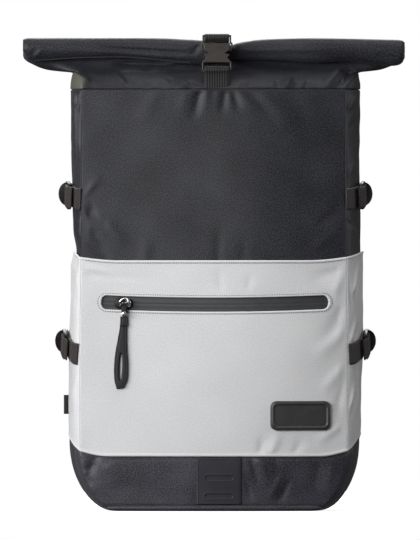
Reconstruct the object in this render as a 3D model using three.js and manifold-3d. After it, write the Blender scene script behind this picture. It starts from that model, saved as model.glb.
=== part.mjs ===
// A roll-top laptop backpack: sewn cloth panels round one open hollow, a rolled mouth held by a
// side-release buckle, a zipped front, side compression straps, and plain carrying straps behind.
// Millimetres, +Z up. The origin is the middle of the base's underside, and the front faces -Y.
import * as THREE from "three";
import { mergeVertices } from "three/addons/utils/BufferGeometryUtils.js";
import Module from "manifold-3d";

const wasm = await Module();
wasm.setup();

// Driving dimensions
const CLOTH = 1.6; // coated polyester panel
const GAP = 0.3; // clearance between pieces that lie on each other
const SEAM_GAP = 0.9; // half of the open joint between two panels at a folded seam
const BAND_LIFT = 0.9; // the pale band lies this far outside the black panels
const SEAM_HEIGHT = 441; // top edge of the panels, where the collar is sewn in
const COLLAR_GAP = 0.9; // the collar's clearance inside the panels it is sewn to
const TUCK = 8; // how far one cloth reaches in behind the edge of the next
const CUT = 100; // reach of a cutting block through a front panel

// The body's cross-section by height: half width at the middle of a gusset, half width at the front
// and back seams, y of the front and back seams, and how far each face bulges past its seams.
const BODY_ROWS = [
  { z: 0, half: 150, seam: 139, front: -66, crown: 9, backSeam: 142, back: 66, backCrown: 3 },
  { z: 80, half: 149.8, seam: 139, front: -67, crown: 12, backSeam: 143, back: 66, backCrown: 3 },
  { z: 180, half: 151, seam: 139, front: -67, crown: 13, backSeam: 143, back: 66, backCrown: 3 },
  { z: 265, half: 150.2, seam: 138, front: -64, crown: 12, backSeam: 142, back: 65, backCrown: 3 },
  { z: 350, half: 150.8, seam: 138, front: -58, crown: 9, backSeam: 142, back: 63, backCrown: 3 },
  { z: 441, half: 152, seam: 138, front: -51, crown: 6, backSeam: 142, back: 60, backCrown: 2 },
];
const BELLY = { front: 14, back: 22, over: 4 }; // where a gusset's curve is pulled outwards
const CORNER = { run: 46, rise: 75 }; // rounded bottom corners seen from the front
const EDGE = { run: 7, rise: 9 }; // rounded bottom edges seen from the side
const GUSSET_SHARE = 0.15; // a gusset quarter's share of half the way round

// Heights of the horizontal joins in front and on the gussets, and the share of the half loop where
// they start to climb
const BASE_JOIN = { front: 57, sides: 79, from: 0.56 };
const BAND_TOP = { front: 262, sides: 272, from: 0.5 };

// The collar closes from the open body to a flat neck. spread widens it to the roll's width,
// close brings front and back together.
const COLLAR_ROWS = [
  { z: 433, spread: 0, close: 0 },
  { z: 441, spread: 0, close: 0.02 },
  { z: 449, spread: 0, close: 0.2 },
  { z: 456.5, spread: 0, close: 0.5 },
  { z: 460, spread: 0.2, close: 0.66 },
  { z: 464, spread: 0.56, close: 0.82 },
  { z: 469, spread: 0.92, close: 0.94 },
];
const INNER_COLLAR_Z = [433, 441, 449, 456.5, 462];
const COLLAR_POINTS = 48;

// The mouth is rolled forwards round a line along X
const ROLL = {
  half: 200, y: -33, z: 483.5, radius: 10.7, pitch: 4.1, layers: 2.6, turns: 2,
  startDeg: -25, stepDeg: 36, points: 20, pinch: 0.12, pinchHalf: 34,
};

// Gathers along the collar's front: x of the fold, half width, height and sideways lean
const COLLAR_FOLDS = [
  { x: -112, width: 9, height: 2.2, lean: 0.5 },
  { x: -74, width: 10, height: -2.4, lean: -0.7 },
  { x: -34, width: 9, height: 2.6, lean: -0.5 },
  { x: 36, width: 10, height: 2.4, lean: 0.6 },
  { x: 70, width: 9, height: -2.2, lean: 0.5 },
  { x: 104, width: 11, height: 2.6, lean: 0.8 },
];
// Pulls in the front panel below the closure strap: foot of the fold, length, half width and height
const PANEL_FOLDS = [
  { x: -40, drop: 46, width: 10, height: 1.7, lean: 0.6 },
  { x: -10, drop: 60, width: 9, height: 2.0, lean: 0.15 },
  { x: 20, drop: 42, width: 8, height: 1.8, lean: -0.25 },
  { x: 42, drop: 64, width: 10, height: 1.7, lean: -0.8 },
  { x: 76, drop: 52, width: 12, height: 1.4, lean: -1.0 },
];

const ZIP = { x: -1, z: 218.4, length: 239, height: 13.5, sag: 2.8, hidden: 6, tape: 1.2, reach: 6 };
const SLIDER = { x: -94.5, length: 17, height: 12, thick: 3.2 };
const LINK = { width: 7.5, height: 13.6, thick: 1.4, corner: 3, hole: 1.5, holeUp: 4.2, drop: 7 };
const PULL = { top: 202.2, tilt: 0.06, thick: 3.2, slit: 1.8, slitFrom: 38, slitTo: 66 };
// The puller's outline: distance below its top and half width there
const PULL_ROWS = [
  { drop: 0, half: 4.1 },
  { drop: 16, half: 4.6 },
  { drop: 36, half: 6.6 },
  { drop: 56, half: 8.0 },
  { drop: 68, half: 7.2 },
  { drop: 77, half: 4.4 },
];
const BADGE = { x: 90, z: 99, width: 62, height: 30.5, corner: 6.5, thick: 2, rim: 1, border: 4 };
const LAMP_PATCH = { x: 4, width: 47, low: 9, high: 56, thick: 1.2 };
const LAMP_SLOT = { width: 28, height: 3.6, heights: [16, 35] };
// Piping along the bottom of the front, from one front corner to the other, by shares of the loop
const PIPING = { radius: 2.6, z: 3.3, gap: 0.7, from: 0.079, points: 12, sides: 3, steps: 22 };
const TAG = { z: 111, height: 20, reach: 5, thick: 1.2, t: 0.45 };

const WEB = 1.4; // thickness of all webbing
const CLOSURE_WIDTH = 25.4;
const SIDE_WIDTH = 22.6;
// The side-release buckle, upright in front of the roll
const BUCKLE = { x: 1, y: -54.5, thick: 8, plate: 1.5 };
const SOCKET = { half: 13.6, low: 478.6, bridge: 487.4, high: 489.6 };
const SOCKET_BAR = { half: 14.4, top: 498.4, thick: 3.6 };
const SOCKET_SLOT = { half: 13, low: 491.2, high: 495.2 };
const PLUG_SLOT = { half: 13.1, low: 465, high: 469.4 };
// Half of the plug's outline, from its foot up to the tips of its two arms
const PLUG_ROWS = [
  { z: 462, half: 15 },
  { z: 471, half: 15 },
  { z: 474.6, half: 10.8 },
  { z: 477.6, half: 13.4 },
  { z: 480, half: 13.4 },
  { z: 481.5, half: 15.6 },
  { z: 486.4, half: 14.8 },
];
const PLUG_FORK = { half: 7, low: 478 }; // the space between the arms
// The closure strap's lower end round the plug, and its upper end over the roll, in y and z
const CLOSURE_LOW = [
  { y: -56.4, z: 442 }, { y: -57.2, z: 452 }, { y: -58.4, z: 460 }, { y: -59.6, z: 463 },
  { y: -58.4, z: 466.2 }, { y: -54.5, z: 467.2 }, { y: -50.8, z: 466 }, { y: -50, z: 462 },
  { y: -52, z: 456 }, { y: -54, z: 450 },
];
const CLOSURE_HIGH = [
  { y: 61.6, z: 442.2 }, { y: 52, z: 449 }, { y: 36, z: 455.4 }, { y: 18, z: 461.2 }, { y: 0, z: 467.4 },
  { y: -12, z: 475 }, { y: -18.6, z: 484 }, { y: -23.6, z: 492 }, { y: -33, z: 496.6 },
  { y: -44, z: 498.2 },
  { y: -51, z: 499.8 }, { y: -55.5, z: 500 }, { y: -58, z: 498 }, { y: -58.2, z: 494.6 },
  { y: -55.4, z: 493.2 }, { y: -51.4, z: 493.6 }, { y: -49.6, z: 495.4 },
];

// Ladder lock: a frame with two slots and a thumb tab that stands out at its loose end
const LOCK = { length: 25, half: 13.7, thick: 3.4, corner: 2.5 };
const LOCK_SLOTS = [{ from: 3.6, to: 9.8, half: 12 }, { from: 12.6, to: 17.6, half: 11.7 }];
const LOCK_TAB = { at: 21.5, reach: 9.4, half: 12.4, thick: 2.6, deg: 62 };
// How webbing lies round the lock's bars: along the lock, and off its underside
const FIXED_WRAP = [
  { a: -3, c: -1.5 }, { a: 3.6, c: -1.4 }, { a: 6, c: 0.4 }, { a: 6, c: 3 }, { a: 3.6, c: 4.6 },
  { a: -0.5, c: 4.6 }, { a: -5, c: 2.6 }, { a: -10, c: 1 },
];
const LOOSE_WRAP = [
  { a: 8.2, c: 2.2 }, { a: 8.8, c: 4.3 }, { a: 11.2, c: 5 }, { a: 13.8, c: 4.4 }, { a: 15, c: 1.4 },
  { a: 16.6, c: -1.1 }, { a: 20, c: -1.6 }, { a: 27, c: -1.7 },
];
// Side straps: height at the front seam, slope towards the back, how far back the lock sits, its own slope,
// and what they lie on
const SIDE_STRAPS = [
  { name: "upper", z: 325.5, slope: 0.13, lock: 24, tilt: 0.14, lies: 0 },
  { name: "lower", z: 163, slope: 0.27, lock: 28.5, tilt: 0.3, lies: BAND_LIFT + CLOTH + GAP },
];
const SIDE_RUN = { clear: 0.9, climb: 50, start: 1.5, end: 114, off: 3.8 };

const BACK_PAD = { edge: 3, thick: 10, low: 96, high: 400, inset: 0.03 };
// A shoulder strap's padded part: height, distance behind the back panel's plane, distance from the middle
const SHOULDER_ROWS = [
  { z: 408, y: 69.1, x: 68 },
  { z: 424, y: 71, x: 68 },
  { z: 436, y: 79, x: 68 },
  { z: 438, y: 91, x: 69 },
  { z: 428, y: 104, x: 71 },
  { z: 400, y: 113, x: 75 },
  { z: 350, y: 118, x: 82 },
  { z: 290, y: 118, x: 90 },
  { z: 236, y: 113, x: 99 },
  { z: 192, y: 105, x: 108 },
];
const SHOULDER = { width: 62, thick: 11, steps: 16, tab: 7, tabSteps: 12 };
const SHOULDER_FOOT = { x: 136, y: 68.5, z: 80, width: SIDE_WIDTH, steps: 18 };
const HANDLE = { width: 14, thick: 5, steps: 18 };
const HANDLE_ROWS = [
  { x: -30, y: 70, z: 424 }, { x: -30, y: 70, z: 444 }, { x: -27, y: 70, z: 460 },
  { x: -15, y: 70, z: 471 }, { x: 0, y: 70, z: 473 }, { x: 15, y: 70, z: 471 },
  { x: 27, y: 70, z: 460 }, { x: 30, y: 70, z: 444 }, { x: 30, y: 70, z: 424 },
];

// How many facets each kind of piece has, along and across
const FINE = {
  frontPanel: [22, 8], side: [6, 7], pocket: [14, 6], zipWindow: [16, 1], zipTape: [16, 1], slider: [8, 3],
  puller: [2, 8], slit: [1, 2], badge: [8, 1], lampPatch: [4, 4], backPanel: [8, 8], backPad: [9, 9],
  boot: 40, strapLow: 18, strapHigh: 28, strapFront: 18, strapRear: 24, corner: 4, smallCorner: 2,
};

const COLOURS = {
  black: { color: 0x26262a, roughness: 0.75 },
  pale: { color: 0xc9cacc, roughness: 0.7 },
  webbing: { color: 0x211f20, roughness: 0.85 },
  plastic: { color: 0x2a2726, roughness: 0.45 },
  rubber: { color: 0x2b2b2b, roughness: 0.5 },
  leather: { color: 0x232025, roughness: 0.6 },
  zip: { color: 0x3c3d40, roughness: 0.5 },
  metal: { color: 0xd0d0d0, roughness: 0.25, metalness: 1 },
};

const bag = new THREE.Group();

function addPiece(name, geometry, finish) {
  const mesh = new THREE.Mesh(geometry, new THREE.MeshStandardMaterial(COLOURS[finish]));
  mesh.name = name;
  bag.add(mesh);
  return mesh;
}

// Numbers and tables

const mix = (a, b, share) => a + (b - a) * share;
const bell = (distance, width) => Math.exp(-((distance / width) ** 2));

// A table's column at a value of its key, on a smooth curve through the rows
function sample(rows, key, column, value) {
  const last = rows.length - 1;
  let i = 0;
  while (i < last - 1 && value > rows[i + 1][key]) i += 1;
  const slope = (k) => {
    const a = rows[Math.max(k - 1, 0)];
    const b = rows[Math.min(k + 1, last)];
    return (b[column] - a[column]) / (b[key] - a[key]);
  };
  const step = rows[i + 1][key] - rows[i][key];
  const t = Math.min(Math.max((value - rows[i][key]) / step, 0), 1);
  const s = t * t * (3 - 2 * t);
  const bendIn = t * (1 - t) * (1 - t) * step * slope(i);
  const bendOut = t * t * (t - 1) * step * slope(i + 1);
  return mix(rows[i][column], rows[i + 1][column], s) + bendIn + bendOut;
}

// The body's outer surface

const body = (column, z) => sample(BODY_ROWS, "z", column, z);

// How far a quarter ellipse has drawn in at height z above the ground
function drawnIn(z, { run, rise }) {
  const depth = Math.max(1 - z / rise, 0);
  return run * (1 - Math.sqrt(1 - depth * depth));
}

// How much narrower the bag is where its bottom corners are rounded
const narrowing = (z) => 1 - drawnIn(z, CORNER) / body("half", z);

// Pulls a point of the section in where the bottom is rounded
function rounded(x, y, z) {
  const reach = (body("back", z) - body("front", z)) / 2;
  const shallow = (reach - drawnIn(z, EDGE)) / reach;
  return new THREE.Vector3(x * narrowing(z), y * shallow, z);
}

function frontPoint(x, z) {
  const across = x / body("seam", z);
  return rounded(x, body("front", z) - body("crown", z) * (1 - across * across), z);
}

function backPoint(x, z) {
  const across = x / body("backSeam", z);
  return rounded(x, body("back", z) + body("backCrown", z) * (1 - across * across), z);
}

// A gusset from the front seam at t 0 to the back seam at t 1, as a cubic curve; side is -1 or 1
function gussetPoint(side, t, z) {
  const front = body("front", z);
  const back = body("back", z);
  const out = body("half", z) + BELLY.over;
  const u = 1 - t;
  const x = u ** 3 * body("seam", z) + 3 * u * t * out + t ** 3 * body("backSeam", z);
  const y = u ** 3 * front + 3 * u * u * t * (front + BELLY.front)
    + 3 * u * t * t * (back - BELLY.back) + t ** 3 * back;
  return rounded(side * x, y, z);
}

// Once round the body: share 0 is the middle of the left gusset, then front, right, back
function loopPoint(share, z) {
  const onFront = share < 0.5;
  const along = onFront ? share * 2 : share * 2 - 1;
  const faceShare = (along - GUSSET_SHARE) / (1 - 2 * GUSSET_SHARE);
  if (along < GUSSET_SHARE) {
    const turn = (0.5 * along) / GUSSET_SHARE;
    return onFront ? gussetPoint(-1, 0.5 - turn, z) : gussetPoint(1, 0.5 + turn, z);
  }
  if (along > 1 - GUSSET_SHARE) {
    const turn = (0.5 * (1 - along)) / GUSSET_SHARE;
    return onFront ? gussetPoint(1, 0.5 - turn, z) : gussetPoint(-1, 0.5 + turn, z);
  }
  const seam = onFront ? body("seam", z) : -body("backSeam", z);
  const x = mix(-seam, seam, faceShare);
  return onFront ? frontPoint(x, z) : backPoint(x, z);
}

// 0 in the middle of the front or back, 1 on the gussets: the way the joins climb
function climb(share, from) {
  const along = Math.abs(((share * 2) % 1) - 0.5) * 2;
  const t = Math.min(Math.max((along - from) / (1 - from), 0), 1);
  return t * t * (3 - 2 * t);
}

const joinHeight = (join, share) => mix(join.front, join.sides, climb(share, join.from));

// Shares of the loop at the four seams
const FRONT_LEFT = GUSSET_SHARE / 2;
const FRONT_RIGHT = 0.5 - FRONT_LEFT;
const BACK_RIGHT = 0.5 + FRONT_LEFT;
const BACK_LEFT = 1 - FRONT_LEFT;

// Meshes

class Builder {
  constructor() {
    this.positions = [];
    this.triangles = [];
  }

  ring(points) {
    return points.map((p) => {
      this.positions.push(p.x, p.y, p.z);
      return this.positions.length / 3 - 1;
    });
  }

  quad(a, b, c, d) {
    this.triangles.push(a, b, c, a, c, d);
  }

  // Joins two closed rings, whose point counts may differ
  band(lower, upper) {
    let i = 0;
    let j = 0;
    while (i < lower.length || j < upper.length) {
      const a = lower[i % lower.length];
      const b = upper[j % upper.length];
      if (j >= upper.length || (i < lower.length && (i + 1) * upper.length <= (j + 1) * lower.length)) {
        this.triangles.push(a, lower[(i + 1) % lower.length], b);
        i += 1;
      } else {
        this.triangles.push(a, upper[(j + 1) % upper.length], b);
        j += 1;
      }
    }
  }

  // Closes a ring straight across, joining the points that face each other
  lid(ring) {
    for (let i = 0, j = ring.length - 1; i + 1 < j; i += 1, j -= 1) {
      this.triangles.push(ring[i], ring[i + 1], ring[j]);
      if (i + 1 < j - 1) this.triangles.push(ring[i + 1], ring[j - 1], ring[j]);
    }
  }

  geometry() {
    const made = new THREE.BufferGeometry();
    made.setAttribute("position", new THREE.Float32BufferAttribute(this.positions, 3));
    made.setIndex(this.triangles);
    return made;
  }
}

const reversed = (ring) => [...ring].reverse();

// A curved plate between two offsets of a surface; across x up points away from the bag
function plate(surface, across, up, outer, inner) {
  const build = new Builder();
  const step = 1e-3;
  const normal = (u, v) => {
    const uA = surface(Math.max(u - step, 0), v);
    const vA = surface(u, Math.max(v - step, 0));
    const du = surface(Math.min(u + step, 1), v).sub(uA);
    const dv = surface(u, Math.min(v + step, 1)).sub(vA);
    return du.cross(dv).normalize();
  };
  const layer = (offset) => {
    const rows = [];
    for (let j = 0; j <= up; j += 1) {
      const row = [];
      for (let i = 0; i <= across; i += 1) {
        const [u, v] = [i / across, j / up];
        const away = typeof offset === "function" ? offset(u, v) : offset;
        row.push(surface(u, v).addScaledVector(normal(u, v), away));
      }
      rows.push(build.ring(row));
    }
    return rows;
  };
  const out = layer(outer);
  const back = layer(inner);
  for (let j = 0; j < up; j += 1) {
    for (let i = 0; i < across; i += 1) {
      build.quad(out[j][i], out[j][i + 1], out[j + 1][i + 1], out[j + 1][i]);
      build.quad(back[j][i], back[j + 1][i], back[j + 1][i + 1], back[j][i + 1]);
    }
    build.quad(out[j][0], out[j + 1][0], back[j + 1][0], back[j][0]);
    build.quad(out[j + 1][across], out[j][across], back[j][across], back[j + 1][across]);
  }
  for (let i = 0; i < across; i += 1) {
    build.quad(out[0][i + 1], out[0][i], back[0][i], back[0][i + 1]);
    build.quad(out[up][i], out[up][i + 1], back[up][i + 1], back[up][i]);
  }
  return build.geometry();
}

// A flat strap swept along a path; wide is the direction of its width
function strap(path, width, thick, wide) {
  const build = new Builder();
  const last = path.length - 1;
  const rings = path.map((point, i) => {
    const along = path[Math.min(i + 1, last)].clone().sub(path[Math.max(i - 1, 0)]).normalize();
    const side = wide.clone().addScaledVector(along, -wide.dot(along)).normalize();
    const over = along.clone().cross(side);
    const corner = (a, b) => point.clone().addScaledVector(side, (a * width) / 2)
      .addScaledVector(over, (b * thick) / 2);
    return build.ring([corner(-1, -1), corner(1, -1), corner(1, 1), corner(-1, 1)]);
  });
  build.lid(reversed(rings[0]));
  for (let i = 0; i < last; i += 1) build.band(rings[i], rings[i + 1]);
  build.lid(rings[last]);
  return build.geometry();
}

function smoothPath(points, steps) {
  return new THREE.CatmullRomCurve3(points, false, "centripetal").getPoints(steps);
}

// Solids for cutting and joining

function toSolid(geometry) {
  const bare = geometry.index ? geometry.toNonIndexed() : geometry.clone();
  bare.deleteAttribute("normal");
  bare.deleteAttribute("uv");
  const merged = mergeVertices(bare, 1e-3);
  return new wasm.Manifold(new wasm.Mesh({
    numProp: 3,
    vertProperties: merged.attributes.position.array,
    triVerts: new Uint32Array(merged.index.array),
  }));
}

function toGeometry(solid) {
  const mesh = solid.getMesh();
  const made = new THREE.BufferGeometry();
  made.setAttribute("position", new THREE.BufferAttribute(mesh.vertProperties, 3));
  made.setIndex(new THREE.BufferAttribute(mesh.triVerts, 1));
  return made;
}

function roundedBox(width, height, corner) {
  const [a, b] = [width / 2, height / 2];
  const shape = new THREE.Shape();
  shape.moveTo(-a + corner, -b);
  shape.lineTo(a - corner, -b).absarc(a - corner, -b + corner, corner, -Math.PI / 2, 0);
  shape.lineTo(a, b - corner).absarc(a - corner, b - corner, corner, 0, Math.PI / 2);
  shape.lineTo(-a + corner, b).absarc(-a + corner, b - corner, corner, Math.PI / 2, Math.PI);
  shape.lineTo(-a, -b + corner).absarc(-a + corner, -b + corner, corner, Math.PI, Math.PI * 1.5);
  return shape;
}

function boxHole(left, right, low, high) {
  return new THREE.Path([
    new THREE.Vector2(left, low), new THREE.Vector2(left, high),
    new THREE.Vector2(right, high), new THREE.Vector2(right, low),
  ]);
}

const extrude = (shape, depth, curveSegments = FINE.corner) => new THREE.ExtrudeGeometry(shape, {
  depth, bevelEnabled: false, curveSegments,
});

// A shape drawn in x and z, standing upright and cut along Y from y to y + depth
function upright(shape, depth, x, y, z, curveSegments = FINE.corner) {
  return extrude(shape, depth, curveSegments).rotateX(Math.PI / 2).translate(x, y + depth, z);
}

// Cloth panels

// A panel of the tube between two shares of the loop and two heights
function tubePanel(from, to, low, high, across, up, outer, inner, dent = () => 0) {
  const surface = (u, v) => {
    const share = mix(from, to, u);
    return loopPoint(share, mix(low(share), high(share), v));
  };
  const shaped = (offset) => (u, v) => offset + dent(surface(u, v));
  return plate(surface, across, up, shaped(outer), shaped(inner));
}

const seamInset = SEAM_GAP / 2 / 402; // the seam gap as a share of the loop's length
const outerBand = BAND_LIFT + CLOTH;

// Folds drawn down the front panel from the strap's foot
function panelFold(point) {
  const below = SEAM_HEIGHT - point.z;
  return PANEL_FOLDS.reduce((sum, fold) => {
    const middle = BUCKLE.x + fold.x - fold.lean * below;
    return sum + fold.height * bell(point.x - middle, fold.width) * bell(below - 8, fold.drop);
  }, 0);
}

function addPanels() {
  const top = () => SEAM_HEIGHT;
  const bandTop = (share) => joinHeight(BAND_TOP, share);
  const behindBand = (share) => bandTop(share) - TUCK;
  const bandLow = (share) => joinHeight(BASE_JOIN, share);
  const inner = -CLOTH;
  const seams = { left: FRONT_LEFT + seamInset, right: FRONT_RIGHT - seamInset };

  addPiece("front_panel",
    tubePanel(seams.left, seams.right, behindBand, top, ...FINE.frontPanel, 0, inner, panelFold), "black");
  addPiece("pocket_front", pocketFront(seams, bandLow, bandTop), "pale");
  const side = (low, high, outer, behind) => tubePanel(FRONT_RIGHT + seamInset, BACK_RIGHT - seamInset,
    low, high, ...FINE.side, outer, behind);
  addPair("gusset", side(behindBand, top, 0, inner), "black");
  addPair("side_pocket", side(bandLow, bandTop, outerBand, BAND_LIFT), "pale");
}

// The pale front with the zip's window cut through it
function pocketFront(seams, low, high) {
  const cloth = tubePanel(seams.left, seams.right, low, high, ...FINE.pocket, outerBand, BAND_LIFT);
  const window = (u, v) => zipPoint(u, v, ZIP.length / 2, ZIP.height, ZIP.height / 2 - GAP);
  const cutter = plate(window, ...FINE.zipWindow, outerBand + ZIP.reach, BAND_LIFT - ZIP.reach);
  return toGeometry(toSolid(cloth).subtract(toSolid(cutter)));
}

// The base: a shallow boot with rounded corners, open at the top
function addBase() {
  const build = new Builder();
  const rises = [0, 0.02, 0.05, 0.1, 0.17, 0.28, 0.45, 0.68, 1];
  const around = FINE.boot;
  const ringAt = (rise, inset, floor) => {
    const points = [];
    for (let i = 0; i < around; i += 1) {
      const share = i / around;
      const height = joinHeight(BASE_JOIN, share) + TUCK / 2;
      const z = mix(floor, height, rise);
      const here = loopPoint(share, z);
      const ahead = loopPoint((share + 0.002) % 1, z).sub(loopPoint((share + 0.998) % 1, z));
      const inward = new THREE.Vector3(-ahead.y, ahead.x, 0).normalize();
      points.push(here.addScaledVector(inward, inset));
    }
    return build.ring(points);
  };
  const outer = rises.map((rise) => ringAt(rise, 0, 0));
  const inner = rises.map((rise) => ringAt(rise, CLOTH, CLOTH));
  build.lid(reversed(outer[0]));
  for (let i = 0; i + 1 < rises.length; i += 1) {
    build.band(outer[i], outer[i + 1]);
    build.band(inner[i + 1], inner[i]);
  }
  build.band(outer.at(-1), inner.at(-1));
  build.lid(inner[0]);
  addPiece("base_boot", build.geometry(), "black");
}

// The collar and the rolled mouth are one cloth: a tube that closes to a flat double layer and rolls up

function collarFold(point) {
  const above = point.z - SEAM_HEIGHT;
  const fade = bell(above - 9, 10);
  return COLLAR_FOLDS.reduce((sum, fold) => {
    const middle = fold.x + fold.lean * above;
    return sum + fold.height * fade * bell(point.x - middle, fold.width);
  }, 0);
}

// The flat double layer at a turn of the roll; the front cloth is on the inside of the roll
function rollPoint(share, deg) {
  const onFront = share < 0.5;
  const along = onFront ? share * 2 : 2 - share * 2;
  const x = mix(-ROLL.half, ROLL.half, along);
  const pinch = 1 - ROLL.pinch * bell(x - BUCKLE.x, ROLL.pinchHalf);
  const edge = Math.sqrt(Math.max(1 - (2 * along - 1) ** 16, 0));
  const layer = ((onFront ? -1 : 1) * ROLL.layers * edge) / 2;
  const radius = (ROLL.radius - (ROLL.pitch * (deg - ROLL.startDeg)) / 360) * pinch + layer;
  const turn = THREE.MathUtils.degToRad(deg);
  return new THREE.Vector3(x, ROLL.y + radius * Math.cos(turn), ROLL.z + radius * Math.sin(turn));
}

function collarPoint(share, z, inset, spread, close) {
  const open = loopPoint(share, Math.min(z, SEAM_HEIGHT));
  const ahead = loopPoint((share + 0.002) % 1, SEAM_HEIGHT)
    .sub(loopPoint((share + 0.998) % 1, SEAM_HEIGHT));
  const inward = new THREE.Vector3(-ahead.y, ahead.x, 0).normalize();
  const fold = share < 0.5 ? collarFold(new THREE.Vector3(open.x, open.y, z)) : 0;
  open.addScaledVector(inward, inset - fold * (1 - close));
  const flat = rollPoint(share, ROLL.startDeg);
  return new THREE.Vector3(mix(open.x, flat.x, spread), mix(open.y, flat.y, close), z);
}

function addRollTop() {
  const build = new Builder();
  const shares = (count) => Array.from({ length: count }, (_, i) => i / count);
  const tuckedIn = CLOTH + COLLAR_GAP;
  const outer = COLLAR_ROWS.map((row) => build.ring(shares(COLLAR_POINTS).map(
    (share) => collarPoint(share, row.z, tuckedIn, row.spread, row.close))));
  const turned = 360 * ROLL.turns;
  for (let deg = ROLL.startDeg; deg <= turned; deg += ROLL.stepDeg) {
    outer.push(build.ring(shares(ROLL.points).map((share) => rollPoint(share, deg))));
  }
  const inner = INNER_COLLAR_Z.map((z) => {
    const close = sample(COLLAR_ROWS, "z", "close", z + CLOTH);
    return build.ring(shares(COLLAR_POINTS).map(
      (share) => collarPoint(share, z, tuckedIn + CLOTH, 0, close)));
  });
  build.band(inner[0], outer[0]);
  for (let i = 0; i + 1 < outer.length; i += 1) build.band(outer[i], outer[i + 1]);
  for (let i = 0; i + 1 < inner.length; i += 1) build.band(inner[i + 1], inner[i]);
  build.lid(outer.at(-1));
  build.lid(reversed(inner.at(-1)));
  addPiece("roll_top", build.geometry(), "black");
}

// Front details

// A plate with rounded ends: its half height at a distance from its middle
function roundEnd(x, length, height, corner) {
  const past = Math.max(Math.abs(x) - (length / 2 - corner), 0);
  return height / 2 - corner + Math.sqrt(Math.max(corner * corner - past * past, 0));
}

// The zip sags a little between its ends
const zipHeight = (x) => ZIP.z - ZIP.sag * (1 - ((x - ZIP.x) / (ZIP.length / 2)) ** 2);

// A strip along the zip with rounded ends, closer points towards the ends
function zipPoint(u, v, long, tall, corner) {
  const x = -long * Math.cos(u * Math.PI);
  const half = roundEnd(x, 2 * long, tall, corner);
  return frontPoint(ZIP.x + x, zipHeight(ZIP.x + x) + mix(-half, half, v));
}

function addZip() {
  const tape = (u, v) => zipPoint(u, v, ZIP.length / 2 + ZIP.hidden, ZIP.height + 2 * ZIP.hidden, GAP);
  const behind = BAND_LIFT - GAP;
  addPiece("zip_tape", plate(tape, ...FINE.zipTape, behind, behind - ZIP.tape), "zip");

  const slider = (u, v) => {
    const x = mix(-SLIDER.length / 2, SLIDER.length / 2, u);
    const half = roundEnd(x, SLIDER.length, SLIDER.height, SLIDER.height / 2 - ZIP.tape / 2);
    return frontPoint(SLIDER.x + x, zipHeight(SLIDER.x) + mix(-half, half, v));
  };
  const seat = behind + GAP;
  const dome = (u, v) => seat + SLIDER.thick * (3 + Math.sin(u * Math.PI) * Math.sin(v * Math.PI)) / 4;
  addPiece("zip_slider", plate(slider, ...FINE.slider, dome, seat), "metal");

  const link = roundedBox(LINK.width, LINK.height, LINK.corner);
  link.holes.push(new THREE.Path().absarc(0, LINK.holeUp, LINK.hole, 0, Math.PI * 2, true));
  const hang = frontPoint(SLIDER.x, zipHeight(SLIDER.x));
  const off = seat + SLIDER.thick + LINK.thick + 2 * GAP;
  const ring = upright(link, LINK.thick, hang.x, hang.y - off, hang.z - LINK.drop, FINE.smallCorner);
  addPiece("zip_link", ring, "metal");
}

// The puller: a flat strap folded in two, with a slit between its legs
function addPuller() {
  const length = PULL_ROWS.at(-1).drop;
  const at = (across, drop) => frontPoint(SLIDER.x + across - PULL.tilt * drop, PULL.top - drop);
  const legs = (u, v) => {
    const drop = length * (1 - v);
    const half = sample(PULL_ROWS, "drop", "half", drop);
    return at(mix(-half, half, u), drop);
  };
  const slit = (u, v) => at(mix(-PULL.slit, PULL.slit, u) / 2, mix(PULL.slitTo, PULL.slitFrom, v));
  const seat = outerBand + GAP;
  const whole = toSolid(plate(legs, ...FINE.puller, seat + PULL.thick, seat));
  const cut = toSolid(plate(slit, ...FINE.slit, seat + 2 * PULL.thick, seat - PULL.thick));
  addPiece("zip_puller", toGeometry(whole.subtract(cut)), "leather");
}

// The rubber badge: a rounded plate with a raised border
function addBadge() {
  const outline = (inset) => (u, v) => {
    const long = BADGE.width / 2 - inset;
    const x = mix(-long, long, u);
    const half = roundEnd(x, 2 * long, BADGE.height - 2 * inset, BADGE.corner - inset / 2);
    return frontPoint(BADGE.x + x, BADGE.z + mix(-half, half, v));
  };
  const seat = outerBand + GAP;
  const face = seat + BADGE.thick;
  const whole = toSolid(plate(outline(0), ...FINE.badge, face + BADGE.rim, seat));
  const hollow = toSolid(plate(outline(BADGE.border), ...FINE.badge, face + 2 * BADGE.rim, face));
  addPiece("badge", toGeometry(whole.subtract(hollow)), "rubber");
}

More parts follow.
